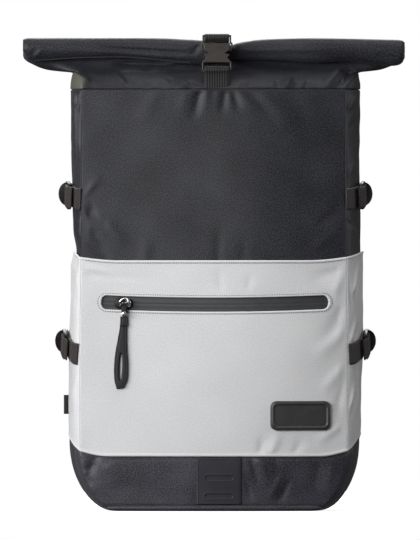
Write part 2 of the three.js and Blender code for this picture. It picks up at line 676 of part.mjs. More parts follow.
// The patch on the base with two slots for a clip-on lamp, and the piped bottom edge
function addBaseDetails() {
  const half = LAMP_PATCH.width / 2;
  const patch = (u, v) => {
    const z = mix(LAMP_PATCH.low, LAMP_PATCH.high, v);
    return frontPoint((LAMP_PATCH.x + mix(-half, half, u)) / narrowing(z), z);
  };
  let solid = toSolid(plate(patch, ...FINE.lampPatch, GAP + LAMP_PATCH.thick, GAP));
  const slot = roundedBox(LAMP_SLOT.width, LAMP_SLOT.height, LAMP_SLOT.height / 2 - GAP);
  for (const z of LAMP_SLOT.heights) {
    const cutter = upright(slot, CUT, LAMP_PATCH.x, -CUT, z, FINE.smallCorner);
    solid = solid.subtract(toSolid(cutter));
  }
  addPiece("lamp_patch", toGeometry(solid), "rubber");

  const route = Array.from({ length: PIPING.points + 1 }, (_, i) => outside(
    mix(PIPING.from, 0.5 - PIPING.from, i / PIPING.points), PIPING.z, PIPING.radius + PIPING.gap));
  const section = new THREE.Shape().absarc(0, 0, PIPING.radius, 0, Math.PI * 2);
  addPiece("base_piping", new THREE.ExtrudeGeometry(section, {
    steps: PIPING.steps, curveSegments: PIPING.sides, extrudePath: new THREE.CatmullRomCurve3(route),
  }), "black");

  const root = gussetPoint(-1, TAG.t, TAG.z);
  const tag = new THREE.BoxGeometry(TAG.reach, TAG.thick, TAG.height);
  const off = outerBand + GAP + TAG.reach / 2;
  addPiece("side_tag", tag.translate(root.x - off, root.y, TAG.z), "webbing");
}

// A point level with the loop and outside it
function outside(share, z, off) {
  const step = 0.012;
  const across = loopPoint(share + step, z).sub(loopPoint(share - step, z));
  return loopPoint(share, z).addScaledVector(new THREE.Vector3(across.y, -across.x, 0).normalize(), off);
}

// Closure strap and buckle

function addClosure() {
  const across = new THREE.Vector3(1, 0, 0);
  const inPlane = (rows, steps) => smoothPath(
    rows.map((row) => new THREE.Vector3(BUCKLE.x, row.y, row.z)), steps);
  const low = inPlane(CLOSURE_LOW, FINE.strapLow);
  addPiece("closure_strap_low", strap(low, CLOSURE_WIDTH, WEB, across), "webbing");
  const high = inPlane(CLOSURE_HIGH, FINE.strapHigh);
  addPiece("closure_strap_high", strap(high, CLOSURE_WIDTH, WEB, across), "webbing");

  const front = BUCKLE.y - BUCKLE.thick / 2;
  const block = new THREE.BoxGeometry(SOCKET.half * 2, BUCKLE.thick, SOCKET.high - SOCKET.low)
    .translate(BUCKLE.x, BUCKLE.y, (SOCKET.high + SOCKET.low) / 2);
  const room = SOCKET.bridge - SOCKET.low + GAP;
  const throat = new THREE.BoxGeometry(SOCKET.half * 3, BUCKLE.thick - 2 * BUCKLE.plate, room)
    .translate(BUCKLE.x, BUCKLE.y, SOCKET.bridge - room / 2);
  const edge = boxHole(-SOCKET_BAR.half, SOCKET_BAR.half, SOCKET.high - GAP, SOCKET_BAR.top);
  const frame = new THREE.Shape(edge.getPoints().reverse());
  frame.holes.push(boxHole(-SOCKET_SLOT.half, SOCKET_SLOT.half, SOCKET_SLOT.low, SOCKET_SLOT.high));
  const ladder = upright(frame, SOCKET_BAR.thick, BUCKLE.x, BUCKLE.y - SOCKET_BAR.thick / 2, 0);
  const socket = toSolid(block).subtract(toSolid(throat)).add(toSolid(ladder));
  addPiece("buckle_socket", toGeometry(socket), "plastic");

  const arm = PLUG_ROWS.map((row) => new THREE.Vector2(row.half, row.z));
  const tip = PLUG_ROWS.at(-1).z;
  const fork = [tip, PLUG_FORK.low].map((z) => new THREE.Vector2(PLUG_FORK.half, z));
  const side = [...arm, ...fork];
  const otherSide = [...side].reverse().map((p) => new THREE.Vector2(-p.x, p.y));
  const outline = new THREE.Shape([...side, ...otherSide]);
  outline.holes.push(boxHole(-PLUG_SLOT.half, PLUG_SLOT.half, PLUG_SLOT.low, PLUG_SLOT.high));
  const thin = BUCKLE.thick - 2 * BUCKLE.plate - 2 * GAP;
  addPiece("buckle_plug", upright(outline, thin, BUCKLE.x, front + BUCKLE.plate + GAP, 0), "plastic");
}

// Side straps, and the ladder locks that join their two ends

// A place on the right gusset: distance back from the front seam, and its tangent and outward normal
function gussetFrame(distance, z) {
  const steps = 60;
  let gone = 0;
  let t = 0;
  let here = gussetPoint(1, 0, z);
  while (gone < distance && t < 1) {
    t += 1 / steps;
    const next = gussetPoint(1, t, z);
    gone += next.distanceTo(here);
    here = next;
  }
  const along = gussetPoint(1, t + 0.01, z).sub(gussetPoint(1, t - 0.01, z)).normalize();
  return { point: here, along, out: along.clone().cross(new THREE.Vector3(0, 0, 1)).normalize() };
}

function ladderLock() {
  const frame = roundedBox(LOCK.length, 2 * LOCK.half, LOCK.corner);
  const middle = LOCK.length / 2;
  for (const { from, to, half } of LOCK_SLOTS) {
    frame.holes.push(boxHole(from - middle, to - middle, -half, half));
  }
  const flat = extrude(frame, LOCK.thick, 1).translate(middle, 0, 0);
  const thumb = new THREE.Shape();
  thumb.absellipse(0, 0, LOCK_TAB.reach, LOCK_TAB.half, -Math.PI / 2, Math.PI / 2);
  const tab = extrude(thumb, LOCK_TAB.thick, 5).rotateY(THREE.MathUtils.degToRad(-LOCK_TAB.deg))
    .translate(LOCK_TAB.at + LOCK_TAB.thick, 0, LOCK.thick / 3);
  return toGeometry(toSolid(flat).add(toSolid(tab)));
}

function mirrored(geometry) {
  const flat = geometry.clone().scale(-1, 1, 1);
  const made = flat.index ? flat : mergeVertices(flat, 1e-3);
  const order = made.index.array;
  for (let i = 0; i < order.length; i += 3) [order[i], order[i + 1]] = [order[i + 1], order[i]];
  return made;
}

function addPair(name, geometry, finish) {
  addPiece(`${name}_right`, geometry, finish);
  addPiece(`${name}_left`, mirrored(geometry), finish);
}

// Webbing that follows wrap rows in a lock's own frame
const wrapped = (rows, place) => rows.map((row) => new THREE.Vector3(row.a, 0, row.c).applyMatrix4(place));

function addSideStraps() {
  for (const row of SIDE_STRAPS) {
    const height = (run) => row.z + row.slope * Math.min(run, SIDE_RUN.climb);
    const lying = (run) => {
      const { point, out } = gussetFrame(run, height(run));
      return point.addScaledVector(out, row.lies + SIDE_RUN.clear + WEB / 2);
    };
    const { point, along, out } = gussetFrame(row.lock, height(row.lock));
    const forward = gussetFrame(row.lock + LOCK.length, height(row.lock)).point.sub(point);
    const rise = row.tilt * forward.length();
    along.copy(forward).add(new THREE.Vector3(0, 0, rise)).normalize();
    out.addScaledVector(along, -out.dot(along)).normalize();
    const up = out.clone().cross(along);
    const place = new THREE.Matrix4().makeBasis(along, up, out)
      .setPosition(point.clone().addScaledVector(out, row.lies + SIDE_RUN.off));
    addPair(`ladder_lock_${row.name}`, ladderLock().applyMatrix4(place), "plastic");

    const front = [SIDE_RUN.start, row.lock / 2].map(lying);
    const fixed = smoothPath([...front, ...wrapped(FIXED_WRAP, place)], FINE.strapFront);
    addPair(`side_strap_${row.name}_front`, strap(fixed, SIDE_WIDTH, WEB, up), "webbing");
    const first = row.lock + LOCK.length + SIDE_RUN.climb / 2;
    const rear = [0, 0.25, 0.5, 0.75, 1].map((share) => lying(mix(first, SIDE_RUN.end, share)));
    const loose = smoothPath([...wrapped(LOOSE_WRAP, place), ...rear], FINE.strapRear);
    addPair(`side_strap_${row.name}_rear`, strap(loose, SIDE_WIDTH, WEB, up), "webbing");
  }
}

// The back, finished plainly

function addBack() {
  const low = (share) => joinHeight(BASE_JOIN, share) + TUCK / 2 + GAP;
  const inset = BACK_PAD.inset;
  addPiece("back_panel", tubePanel(BACK_RIGHT + 3 * seamInset, BACK_LEFT - 3 * seamInset,
    low, () => SEAM_HEIGHT, ...FINE.backPanel, 0, -CLOTH), "black");
  const pad = (u, v) => loopPoint(
    mix(BACK_RIGHT + inset, BACK_LEFT - inset, u), mix(BACK_PAD.low, BACK_PAD.high, v));
  const swell = (u, v) => GAP + mix(BACK_PAD.edge, BACK_PAD.thick,
    Math.sqrt(Math.min(1, 8 * u * (1 - u)) * Math.min(1, 8 * v * (1 - v))));
  addPiece("back_pad", plate(pad, ...FINE.backPad, swell, GAP), "black");

  const across = new THREE.Vector3(1, 0, 0);
  const points = (rows) => rows.map((row) => new THREE.Vector3(row.x, row.y, row.z));
  const padded = smoothPath(points(SHOULDER_ROWS), SHOULDER.steps);
  addPair("shoulder_strap", strap(padded, SHOULDER.width, SHOULDER.thick, across), "black");

  const foot = new THREE.Vector3(SHOULDER_FOOT.x, SHOULDER_FOOT.y, SHOULDER_FOOT.z);
  const end = padded.at(-1);
  const along = end.clone().sub(padded.at(-2)).normalize();
  const out = new THREE.Vector3(0, 1, 0).addScaledVector(along, -along.y).normalize();
  const side = out.clone().cross(along);
  const seat = end.clone().addScaledVector(along, SHOULDER.tab).addScaledVector(out, -LOCK.thick / 2);
  const place = new THREE.Matrix4().makeBasis(along, side, out).setPosition(seat);
  addPair("shoulder_lock", ladderLock().applyMatrix4(place), "plastic");
  const sewn = end.clone().addScaledVector(along, GAP).addScaledVector(out, -LOCK.thick);
  const tab = smoothPath([sewn, ...wrapped(FIXED_WRAP, place).slice(0, -2)], SHOULDER.tabSteps);
  addPair("shoulder_tab", strap(tab, SHOULDER_FOOT.width, WEB, side), "webbing");
  const route = smoothPath([...wrapped(LOOSE_WRAP, place), foot], SHOULDER_FOOT.steps);
  addPair("shoulder_web", strap(route, SHOULDER_FOOT.width, WEB, side), "webbing");

  addPiece("haul_handle", strap(smoothPath(points(HANDLE_ROWS), HANDLE.steps),
    HANDLE.width, HANDLE.thick, new THREE.Vector3(0, 1, 0)), "webbing");
}

addPanels();
addBase();
addRollTop();
addZip();
addPuller();
addBadge();
addBaseDetails();
addClosure();
addSideStraps();
addBack();

export default bag;
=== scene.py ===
import bpy
import bmesh
import math
import numpy as np
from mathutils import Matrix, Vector


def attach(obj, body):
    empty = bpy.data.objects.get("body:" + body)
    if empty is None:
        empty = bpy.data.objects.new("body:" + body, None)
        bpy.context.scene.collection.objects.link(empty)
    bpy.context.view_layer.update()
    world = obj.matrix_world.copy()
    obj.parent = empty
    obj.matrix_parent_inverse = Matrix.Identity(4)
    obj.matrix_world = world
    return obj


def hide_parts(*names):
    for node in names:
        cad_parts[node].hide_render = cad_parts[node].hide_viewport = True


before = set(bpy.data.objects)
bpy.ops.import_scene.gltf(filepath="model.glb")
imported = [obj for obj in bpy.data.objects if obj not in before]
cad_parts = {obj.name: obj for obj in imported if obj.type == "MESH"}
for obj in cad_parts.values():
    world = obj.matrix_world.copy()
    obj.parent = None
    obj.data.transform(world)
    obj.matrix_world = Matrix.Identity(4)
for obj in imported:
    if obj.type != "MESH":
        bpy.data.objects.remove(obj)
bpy.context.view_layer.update()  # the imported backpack: origin under the middle of its base, front towards -Y
mm = 0.001
print("frame:", len(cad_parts), "nodes")


# Camera, light and floor

view = {"mmPerPixel": 1.05, "pixelsHigh": 540, "x": -5.8, "z": 252.0, "distance": 14000.0, "sensor": 36.0}


def addObject(name, data):  # a new object at the origin
    holder = bpy.data.objects.new(name, data)
    bpy.context.scene.collection.objects.link(holder)
    return holder


def placeCamera():  # level with the bag's middle and far away, so that the sides stay parallel
    camera = bpy.data.cameras.new("photoCamera")
    camera.sensor_width = view["sensor"]
    camera.lens = view["sensor"] * view["distance"] / (view["mmPerPixel"] * view["pixelsHigh"])
    camera.clip_end = 100.0
    holder = addObject("photoCamera", camera)
    holder.location = (view["x"] * mm, -view["distance"] * mm, view["z"] * mm)
    holder.rotation_euler = (math.pi / 2, 0.0, 0.0)
    bpy.context.scene.camera = holder


# name: place in metres, size in metres, watts
lamps = {
    "keyLeft": ((-1.5, -2.5, 0.9), 1.3, 40.0),
    "wideLeft": ((-2.4, -1.4, 0.9), 1.3, 48.0),
    "sideLeft": ((-2.7, -0.7, 1.2), 1.3, 8.0),
    "overhead": ((0.2, -0.5, 2.8), 1.3, 17.0),
    "sideRight": ((2.7, -0.5, 0.8), 1.3, 10.0),
    "edgeRight": ((2.7, 0.5, 0.8), 1.3, 6.0),
    "behind": ((-0.3, 2.3, 2.0), 1.6, 46.0),
}
room = {"seen": 1.0, "felt": 0.072, "aim": (0, 0, 0.25)}  # the white wall to the eye and the bag, lamps' aim


def hexLinear(code):  # an sRGB hex colour as linear red, green, blue and alpha
    values = [int(code[i:i + 2], 16) / 255 for i in (0, 2, 4)]
    return tuple(v / 12.92 if v <= 0.04045 else ((v + 0.055) / 1.055) ** 2.4 for v in values) + (1.0,)


def feed(tree, node, inputs):  # sets a node's inputs, or links those that are given a socket
    for socket, value in inputs.items():
        if isinstance(value, bpy.types.NodeSocket):
            tree.links.new(value, node.inputs[socket])
        else:
            node.inputs[socket].default_value = value


def addNode(tree, kind, inputs=None, **settings):  # a node with its settings and its inputs
    node = tree.nodes.new("ShaderNode" + kind)
    for name, value in settings.items():
        setattr(node, name, value)
    feed(tree, node, inputs or {})
    return node


def lightRoom():
    scene = bpy.context.scene
    scene.view_settings.view_transform = "Standard"
    for name, (place, size, watts) in lamps.items():
        lamp = bpy.data.lights.new(name, "AREA")
        lamp.size = size
        lamp.energy = watts
        holder = addObject(name, lamp)
        holder.location = place
        holder.rotation_euler = (Vector(room["aim"]) - holder.location).to_track_quat("-Z", "Y").to_euler()
    world = bpy.data.worlds.new("whiteStudio")
    scene.world = world
    world.use_nodes = True
    tree = world.node_tree
    tree.nodes.clear()
    felt, seen = (addNode(tree, "Background", {"Color": (1, 1, 1, 1), "Strength": room[name]}).outputs[0]
                  for name in ("felt", "seen"))
    path = addNode(tree, "LightPath")
    both = addNode(tree, "MixShader", {0: path.outputs["Is Camera Ray"], 1: felt, 2: seen})
    addNode(tree, "OutputWorld", {"Surface": both.outputs[0]})


# Shapes: tables, curves and grids, all in mm

def curveThrough(table, key, name, at):
    # A cubic from point to point of the table's column, each point's slope taken from its neighbours
    k = np.asarray(table[key], float)
    c = np.asarray(table[name], float)
    last = len(k) - 1
    before = np.maximum(np.arange(last + 1) - 1, 0)
    after = np.minimum(np.arange(last + 1) + 1, last)
    slope = (c[after] - c[before]) / (k[after] - k[before])
    at = np.asarray(at, float)
    i = np.clip(np.searchsorted(k, at) - 1, 0, last - 1)
    step = k[i + 1] - k[i]
    t = np.clip((at - k[i]) / step, 0, 1)
    ease = t * t * (3 - 2 * t)
    bends = t * (1 - t) ** 2 * slope[i] + t * t * (t - 1) * slope[i + 1]
    return c[i] + (c[i + 1] - c[i]) * ease + step * bends


def smooth(value, low, high):  # 0 below low, 1 above high, an S curve between
    t = np.clip((value - low) / (high - low), 0, 1)
    return t * t * (3 - 2 * t)


def bell(distance, width):  # 1 in the middle, falling off like a bell
    return np.exp(-(distance / width) ** 2)


def eased(count):  # 0 to 1 in steps that are three times closer at both ends
    s = np.linspace(0, 1, count)
    return s - 0.11 * np.sin(2 * np.pi * s)


def foldField(x, z, folds):
    # Each fold is a ridge along a straight line: a bell across it, widening and fading towards its end
    total = np.zeros(np.broadcast(x, z).shape)
    for x0, z0, x1, z1, width, height in folds:
        length = math.hypot(x1 - x0, z1 - z0)
        t = ((x - x0) * (x1 - x0) + (z - z0) * (z1 - z0)) / length ** 2
        across = ((x - x0) * (z1 - z0) - (z - z0) * (x1 - x0)) / length
        spread = width * (0.75 + 0.5 * np.clip(t, 0, 1))
        fade = smooth(t, -0.2, 0.12) * (1 - smooth(t, 0.45, 1.1))
        total += height * bell(across, spread) * fade
    return total


def slack(x, z, size, height):
    # Loose cloth: five sine waves, each turned from the last and shorter than it
    total = np.zeros(np.broadcast(x, z).shape)
    for k in range(5):
        turn = 0.9 + 2.4 * k
        length = size / (1 + 0.55 * k)
        way = x * math.cos(turn) + z * math.sin(turn)
        total += np.sin(2 * np.pi * way / length + 1.7 * k) / (k + 1.5)
    return height * total


def turnedEdge(distance, radius, depth):  # how far a turned-in edge has dropped at a distance from the seam
    share = np.clip(1 - distance / radius, 0, 1)
    return depth * (1 - np.sqrt(1 - share ** 2))


def stack(x, y, z):
    return np.stack(np.broadcast_arrays(np.asarray(x, float), y, z), -1)


def unit(ways):  # directions at length 1
    return ways / np.linalg.norm(ways, axis=-1, keepdims=True)


def gridNormals(points, closed=False):  # the cross product of the two ways along the grid, at length 1
    if closed:
        across = np.roll(points, -1, 1) - np.roll(points, 1, 1)
    else:
        across = np.gradient(points, axis=1)
    normal = np.cross(across, np.gradient(points, axis=0))
    return normal / np.maximum(np.linalg.norm(normal, axis=2, keepdims=True), 1e-9)


def pushed(points, amount, closed=False):  # moves each point out along the surface's normal
    return points + gridNormals(points, closed) * np.asarray(amount)[..., None]


def patch(points, closed=False, uv=None, highlightAndWear=None):
    # A grid with its cloth lengths: u and v are the mean distances along its rows and its columns
    if uv is None:
        ring = np.concatenate([points, points[:, :1]], 1) if closed else points
        u = np.linalg.norm(np.diff(ring, axis=1), axis=2).mean(0).cumsum()
        v = np.linalg.norm(np.diff(points, axis=0), axis=2).mean(1).cumsum()
        uv = np.stack(np.meshgrid(np.r_[0, u], np.r_[0, v]), -1)
    highlightAndWear = np.zeros(points.shape[:2]) if highlightAndWear is None else np.broadcast_to(highlightAndWear, points.shape[:2])
    return {"points": points, "closed": closed, "uv": uv, "highlightAndWear": highlightAndWear}


def rework(mesh, *steps):  # runs bmesh steps on a mesh
    work = bmesh.new()
    work.from_mesh(mesh)
    for step in steps:
        step(work)
    work.to_mesh(mesh)
    work.free()


def mergePoints(work):  # joins the points that share a place
    bmesh.ops.remove_doubles(work, verts=work.verts, dist=2e-6)


def makeObject(name, patches):
    # Joins the patches' grids into one mesh, with a UV map in metres and, at each point, a mask of painted
    # highlight and wear
    verts, quads, uvs, highlightAndWear, start = [], [], [], [], 0
    for p in patches:
        rows, cols = p["points"].shape[:2]
        j, i = np.meshgrid(np.arange(rows - 1), np.arange(cols if p["closed"] else cols - 1), indexing="ij")
        corners = [(j, i), (j, i + 1), (j + 1, i + 1), (j + 1, i)]
        quads.append(start + np.stack([a * cols + b % cols for a, b in corners], -1).reshape(-1, 4))
        uvs.append(np.stack([p["uv"][a, b] for a, b in corners], -2).reshape(-1, 2))
        verts.append(p["points"].reshape(-1, 3))
        highlightAndWear.append(p["highlightAndWear"].ravel())
        start += rows * cols
    mesh = bpy.data.meshes.new(name)
    mesh.from_pydata(np.concatenate(verts) * mm, [], np.concatenate(quads))
    flat = (np.concatenate(uvs) * mm).astype(np.float32)
    mesh.uv_layers.new(name="cloth").data.foreach_set("uv", flat.ravel())
    wear = mesh.attributes.new("highlightAndWear", "FLOAT", "POINT")
    wear.data.foreach_set("value", np.concatenate(highlightAndWear).astype(np.float32))
    rework(mesh, mergePoints)
    mesh.shade_smooth()
    return addObject(name, mesh)


def finishPiece(piece, material, slot, *nodes):
    piece.data.materials.clear()
    piece.data.materials.append(material)
    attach(piece, "root")
    if nodes:
        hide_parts(*nodes)
    return piece


def makePiece(name, patches, material, slot, *nodes, wall=0.0):  # the wall grows inwards from the surface
    piece = makeObject(name, patches)
    if wall:
        inwards = piece.modifiers.new("wall", "SOLIDIFY")
        inwards.thickness = wall * mm
        inwards.offset = -1.0
    return finishPiece(piece, material, slot, *nodes)


def smoothPath(points, count):
    # A centripetal Catmull-Rom curve: each span is a cubic whose end slopes come from the neighbouring points
    p = np.asarray(points, float)
    p = np.concatenate([[2 * p[0] - p[1]], p, [2 * p[-1] - p[-2]]])
    gap = np.sqrt(np.linalg.norm(np.diff(p, axis=0), axis=1))[:, None]
    chord = np.diff(p, axis=0) / gap
    slope = chord[:-1] - (p[2:] - p[:-2]) / (gap[:-1] + gap[1:]) + chord[1:]
    at = np.linspace(0, len(points) - 1, count)
    i = np.minimum(at.astype(int), len(points) - 2)
    t = (at - i)[:, None]
    a, b = p[i + 1], p[i + 2]
    m0, m1 = slope[i] * gap[i + 1], slope[i + 1] * gap[i + 1]
    return a + (b - a) * (3 - 2 * t) * t * t + t * (1 - t) ** 2 * m0 + t * t * (t - 1) * m1


def carried(path, profile, wide, scale=1.0):
    # A closed profile carried along a path: its first coordinate lies along wide, its second square to both
    along = unit(np.gradient(path, axis=0))
    wide = np.broadcast_to(np.asarray(wide, float), path.shape)
    side = unit(wide - along * (wide * along).sum(1, keepdims=True))
    over = np.cross(along, side)
    flat = profile * np.broadcast_to(scale, (len(path),))[:, None, None]
    return path[:, None] + side[:, None] * flat[..., :1] + over[:, None] * flat[..., 1:]


def capped(points):  # closes both ends of a carried profile on their middles
    first = np.broadcast_to(points[:1].mean(1, keepdims=True), points[:1].shape)
    last = np.broadcast_to(points[-1:].mean(1, keepdims=True), points[-1:].shape)
    return np.concatenate([first, points, last])


def tube(path, profile, wide, scale=1.0, highlightAndWear=None):  # a carried profile with closed ends
    return patch(capped(carried(path, profile, wide, scale)), closed=True, highlightAndWear=highlightAndWear)


def oval(half, tall, power=1.0, count=96, tallPower=None):  # an ellipse, squarer as a power falls below 1
    turn = np.linspace(0, 2 * np.pi, count, endpoint=False)
    c, s = np.cos(turn), np.sin(turn)
    return np.stack([half * np.sign(c) * np.abs(c) ** power,
                     tall * np.sign(s) * np.abs(s) ** (tallPower or power)], -1)


def disc(radius, count):  # a round profile
    return oval(radius, radius, 1.0, count)


# Finishes

def newMaterial(name):
    material = bpy.data.materials.new(name)
    material.use_nodes = True
    tree = material.node_tree
    tree.nodes.clear()
    shader = addNode(tree, "BsdfPrincipled")
    addNode(tree, "OutputMaterial", {"Surface": shader.outputs[0]})
    return material, tree, shader


def bandScale(spacing):  # Wave Texture scale for bands that repeat every so many mm
    return math.pi / 10 / (spacing * mm)


def wovenCloth(name, look):
    # Plain-woven polyester with a coated back: slubby threads cross, so the surface is matt and finely
    # speckled with a sheen at a slant. Edges get a lighter tone: partly wear, partly painted highlight.
    # Real threads are 0.5 mm apart, too fine to show here, so they are drawn wider
    material, tree, shader = newMaterial(name)
    cloth = addNode(tree, "TexCoord").outputs["UV"]
    thin, long = 1 / (look["thread"] * mm), 1 / (look["slub"] * mm)
    slubs = []
    for stretch in ((thin, long, 1), (long, thin, 1)):
        drawn = addNode(tree, "Mapping", {"Vector": cloth, "Scale": stretch})
        slubs.append(addNode(tree, "TexNoise", {"Vector": drawn.outputs[0], "Scale": 1.0, "Detail": 2.0}))
    weave = addNode(tree, "Math", {0: slubs[0].outputs["Fac"], 1: slubs[1].outputs["Fac"]}, operation="ADD")
    cloud = addNode(tree, "TexNoise", {"Vector": cloth, "Scale": 1 / (look["cloud"] * mm), "Detail": 3.0})
    shade = addNode(tree, "Math", {0: cloud.outputs["Fac"], 1: 0.4, 2: weave.outputs[0]},
                    operation="MULTIPLY_ADD")
    middle, spread = 1.2, look["spread"] / 2  # the mean of two noises and 0.4 of a third
    tone = addNode(tree, "MapRange", {"Value": shade.outputs[0], 1: middle - spread, 2: middle + spread})
    yarn = addNode(tree, "Mix", {0: tone.outputs[0], 6: hexLinear(look["dark"]), 7: hexLinear(look["light"])},
                   data_type="RGBA")
    # the mask mixes in a lighter tone: painted highlight on edges, seam ridges and the collar's left ear,
    # partly wear
    highlightAndWear = addNode(tree, "Attribute", attribute_name="highlightAndWear")
    highlightWearTone = addNode(tree, "Mix", {0: highlightAndWear.outputs["Fac"], 6: yarn.outputs[2], 7: hexLinear(look["highlightWearTone"])},
                     data_type="RGBA")
    rough = addNode(tree, "MapRange", {"Value": weave.outputs[0], 1: 0.7, 2: 1.3, 3: look["rough"] - 0.1,
                                       4: look["rough"] + 0.1})
    bump = addNode(tree, "Bump", {"Height": weave.outputs[0], "Strength": look["bump"], "Distance": 0.4 * mm})
    feed(tree, shader, {"Base Color": highlightWearTone.outputs[2], "Roughness": rough.outputs[0],
                        "Normal": bump.outputs[0], "IOR": 1.5, "Specular IOR Level": look["gloss"],
                        "Sheen Weight": look["sheen"],
                        "Sheen Roughness": 0.4})
    return material


def ribbedWebbing(name, look):
    # Woven polypropylene webbing: cords run lengthwise and stand up as ribs, with a fine cross thread between
    material, tree, shader = newMaterial(name)
    tape = addNode(tree, "TexCoord").outputs["UV"]
    ribs = addNode(tree, "TexWave", {"Vector": tape, "Scale": bandScale(look["rib"])}, bands_direction="X")
    picks = addNode(tree, "TexWave", {"Vector": tape, "Scale": bandScale(look["pick"])}, bands_direction="Y")
    fuzz = addNode(tree, "TexNoise", {"Vector": tape, "Scale": 1 / (look["fuzz"] * mm), "Detail": 2.0})
    height = addNode(tree, "Math", {0: picks.outputs["Fac"], 1: 0.35, 2: ribs.outputs["Fac"]},
                     operation="MULTIPLY_ADD")
    shade = addNode(tree, "Math", {0: height.outputs[0], 1: fuzz.outputs["Fac"]}, operation="MULTIPLY")
    colour = addNode(tree, "Mix", {0: shade.outputs[0], 6: hexLinear(look["dark"]),
                     7: hexLinear(look["light"])}, data_type="RGBA")
    bump = addNode(tree, "Bump", {"Height": height.outputs[0], "Strength": 0.5, "Distance": 0.3 * mm})
    feed(tree, shader, {"Base Color": colour.outputs[2], "Normal": bump.outputs[0], "Roughness": 0.62,
                        "IOR": 1.49, "Sheen Weight": 0.2, "Sheen Roughness": 0.4})
    return material


def grained(name, look):
    # A moulded or coated skin: one colour that drifts a little, and a fine grain that breaks up its gloss
    material, tree, shader = newMaterial(name)
    place = addNode(tree, "TexCoord").outputs["Object"]
    drift = addNode(tree, "TexNoise", {"Vector": place, "Scale": 1 / (look["drift"] * mm), "Detail": 3.0})
    grain = addNode(tree, "TexVoronoi", {"Vector": place, "Scale": 1 / (look["grain"] * mm)}, feature="F1")
    colour = addNode(tree, "Mix", {0: drift.outputs["Fac"], 6: hexLinear(look["dark"]),
                                   7: hexLinear(look["light"])}, data_type="RGBA")
    rough = addNode(tree, "MapRange", {"Value": drift.outputs["Fac"], 3: look["rough"] - 0.08,
                                       4: look["rough"] + 0.08})
    bump = addNode(tree, "Bump", {"Height": grain.outputs["Distance"], "Strength": look["bump"],
                                  "Distance": 0.2 * mm})
    feed(tree, shader, {"Base Color": colour.outputs[2], "Roughness": rough.outputs[0],
                        "Normal": bump.outputs[0], "IOR": look["ior"], "Specular IOR Level": look["gloss"],
                        "Metallic": look["metal"]})
    return material


def airMesh(name, look):
    # Knitted spacer mesh on the carrying side: a field of small open cells over dark foam
    material, tree, shader = newMaterial(name)
    place = addNode(tree, "TexCoord").outputs["Object"]
    cells = addNode(tree, "TexVoronoi", {"Vector": place, "Scale": 1 / (look["cell"] * mm),
                    "Randomness": 0.35}, feature="F1")
    pits = addNode(tree, "MapRange", {"Value": cells.outputs["Distance"], 1: 0.15, 2: 0.55})
    colour = addNode(tree, "Mix", {0: pits.outputs[0], 6: hexLinear(look["pit"]), 7: hexLinear(look["yarn"])},
                     data_type="RGBA")
    bump = addNode(tree, "Bump", {"Height": pits.outputs[0], "Strength": 0.7, "Distance": 0.8 * mm})
    feed(tree, shader, {"Base Color": colour.outputs[2], "Normal": bump.outputs[0], "Roughness": 0.8,
                        "IOR": 1.5, "Sheen Weight": 0.3, "Sheen Roughness": 0.5})
    return material


clothLooks = {  # the walls, the base and the pale band; thread, slubs and cloudiness in mm. The base's black is lightened: painted light
    "name": ("blackPolyester", "lightenedBaseBlackPolyester", "palePolyester"),
    "dark": ("090a0e", "141419", "d6d7d9"),
    "light": ("36373f", "4d4d57", "e9e9ea"),
    # the lighter tone for edges and the collar's ear: painted highlight, partly wear
    "highlightWearTone": ("5b5a52", "5b5a52", "f3f3f4"),
    "rough": (0.55, 0.55, 0.6),
    "gloss": (0.45, 0.5, 0.35),
    "sheen": (0.06, 0.06, 0.35),
    "thread": (0.95, 0.95, 1.0),
    "slub": (1.45, 1.45, 1.6),
    "cloud": (60.0, 45.0, 60.0),
    "bump": (0.25, 0.25, 0.2),
    "spread": (0.2, 0.3, 0.5),
}
webbingLooks = {  # spacing of ribs, cross threads and fuzz in mm; closure colours darkened as painted shade, side colours lightened as painted light
    "closure": {"rib": 2.62, "pick": 1.8, "fuzz": 1.5, "dark": "0b0a0a", "light": "2c2927"},
    "side": {"rib": 1.33, "pick": 1.8, "fuzz": 1.5, "dark": "1f1b1a", "light": "4b4340"},
}
skinColumns = ("dark", "light", "drift", "grain", "rough", "bump", "ior", "gloss", "metal")
skinLooks = {  # drift and grain in mm
    "litAcetalPlastic": ("37322f", "443e3a", 9.0, 0.7, 0.42, 0.12, 1.48, 0.5, 0),  # moulded satin, soft glints; lighter than the locks' black as painted light
    "blackAcetal": ("0d0b0a", "171413", 9.0, 0.7, 0.38, 0.1, 1.48, 0.5, 0),  # the same acetal at its own near-black, glossier
    "coatedZipTape": ("393a3c", "46474a", 6.0, 0.9, 0.5, 0.25, 1.5, 0.45, 0),  # filmed tape, even and dull
    "nickelPlate": ("cbcbca", "f3f3f1", 3.0, 0.5, 0.16, 0.05, 1.5, 0.5, 1),  # polished, with sharp glints
    "pullerLeather": ("141115", "242025", 7.0, 1.1, 0.55, 0.35, 1.5, 0.4, 0),  # pressed, pebbled and dull
    "mouldedRubber": ("353535", "444444", 14.0, 0.8, 0.42, 0.2, 1.52, 0.45, 0),  # blasted mould, half matt
    "coatedPatch": ("2b2a30", "39373e", 18.0, 0.9, 0.55, 0.18, 1.5, 0.4, 0),  # smoother than the base cloth
    "blackThread": ("141416", "2c2c30", 2.0, 0.5, 0.6, 0.3, 1.5, 0.3, 0),  # twisted thread, dull
    "blackenedZinc": ("0b0b0c", "151516", 4.0, 0.6, 0.45, 0.08, 1.5, 0.3, 0),  # cast, under black lacquer
    "greyThread": ("6c6d70", "8e8f92", 2.0, 0.5, 0.6, 0.3, 1.5, 0.3, 0),  # twisted thread, dull
}
meshLook = {"cell": 3.2, "pit": "0e0e10", "yarn": "34353a"}

blackCloth, baseCloth, paleCloth = (wovenCloth(row[0], dict(zip(clothLooks, row)))
                                    for row in zip(*clothLooks.values()))
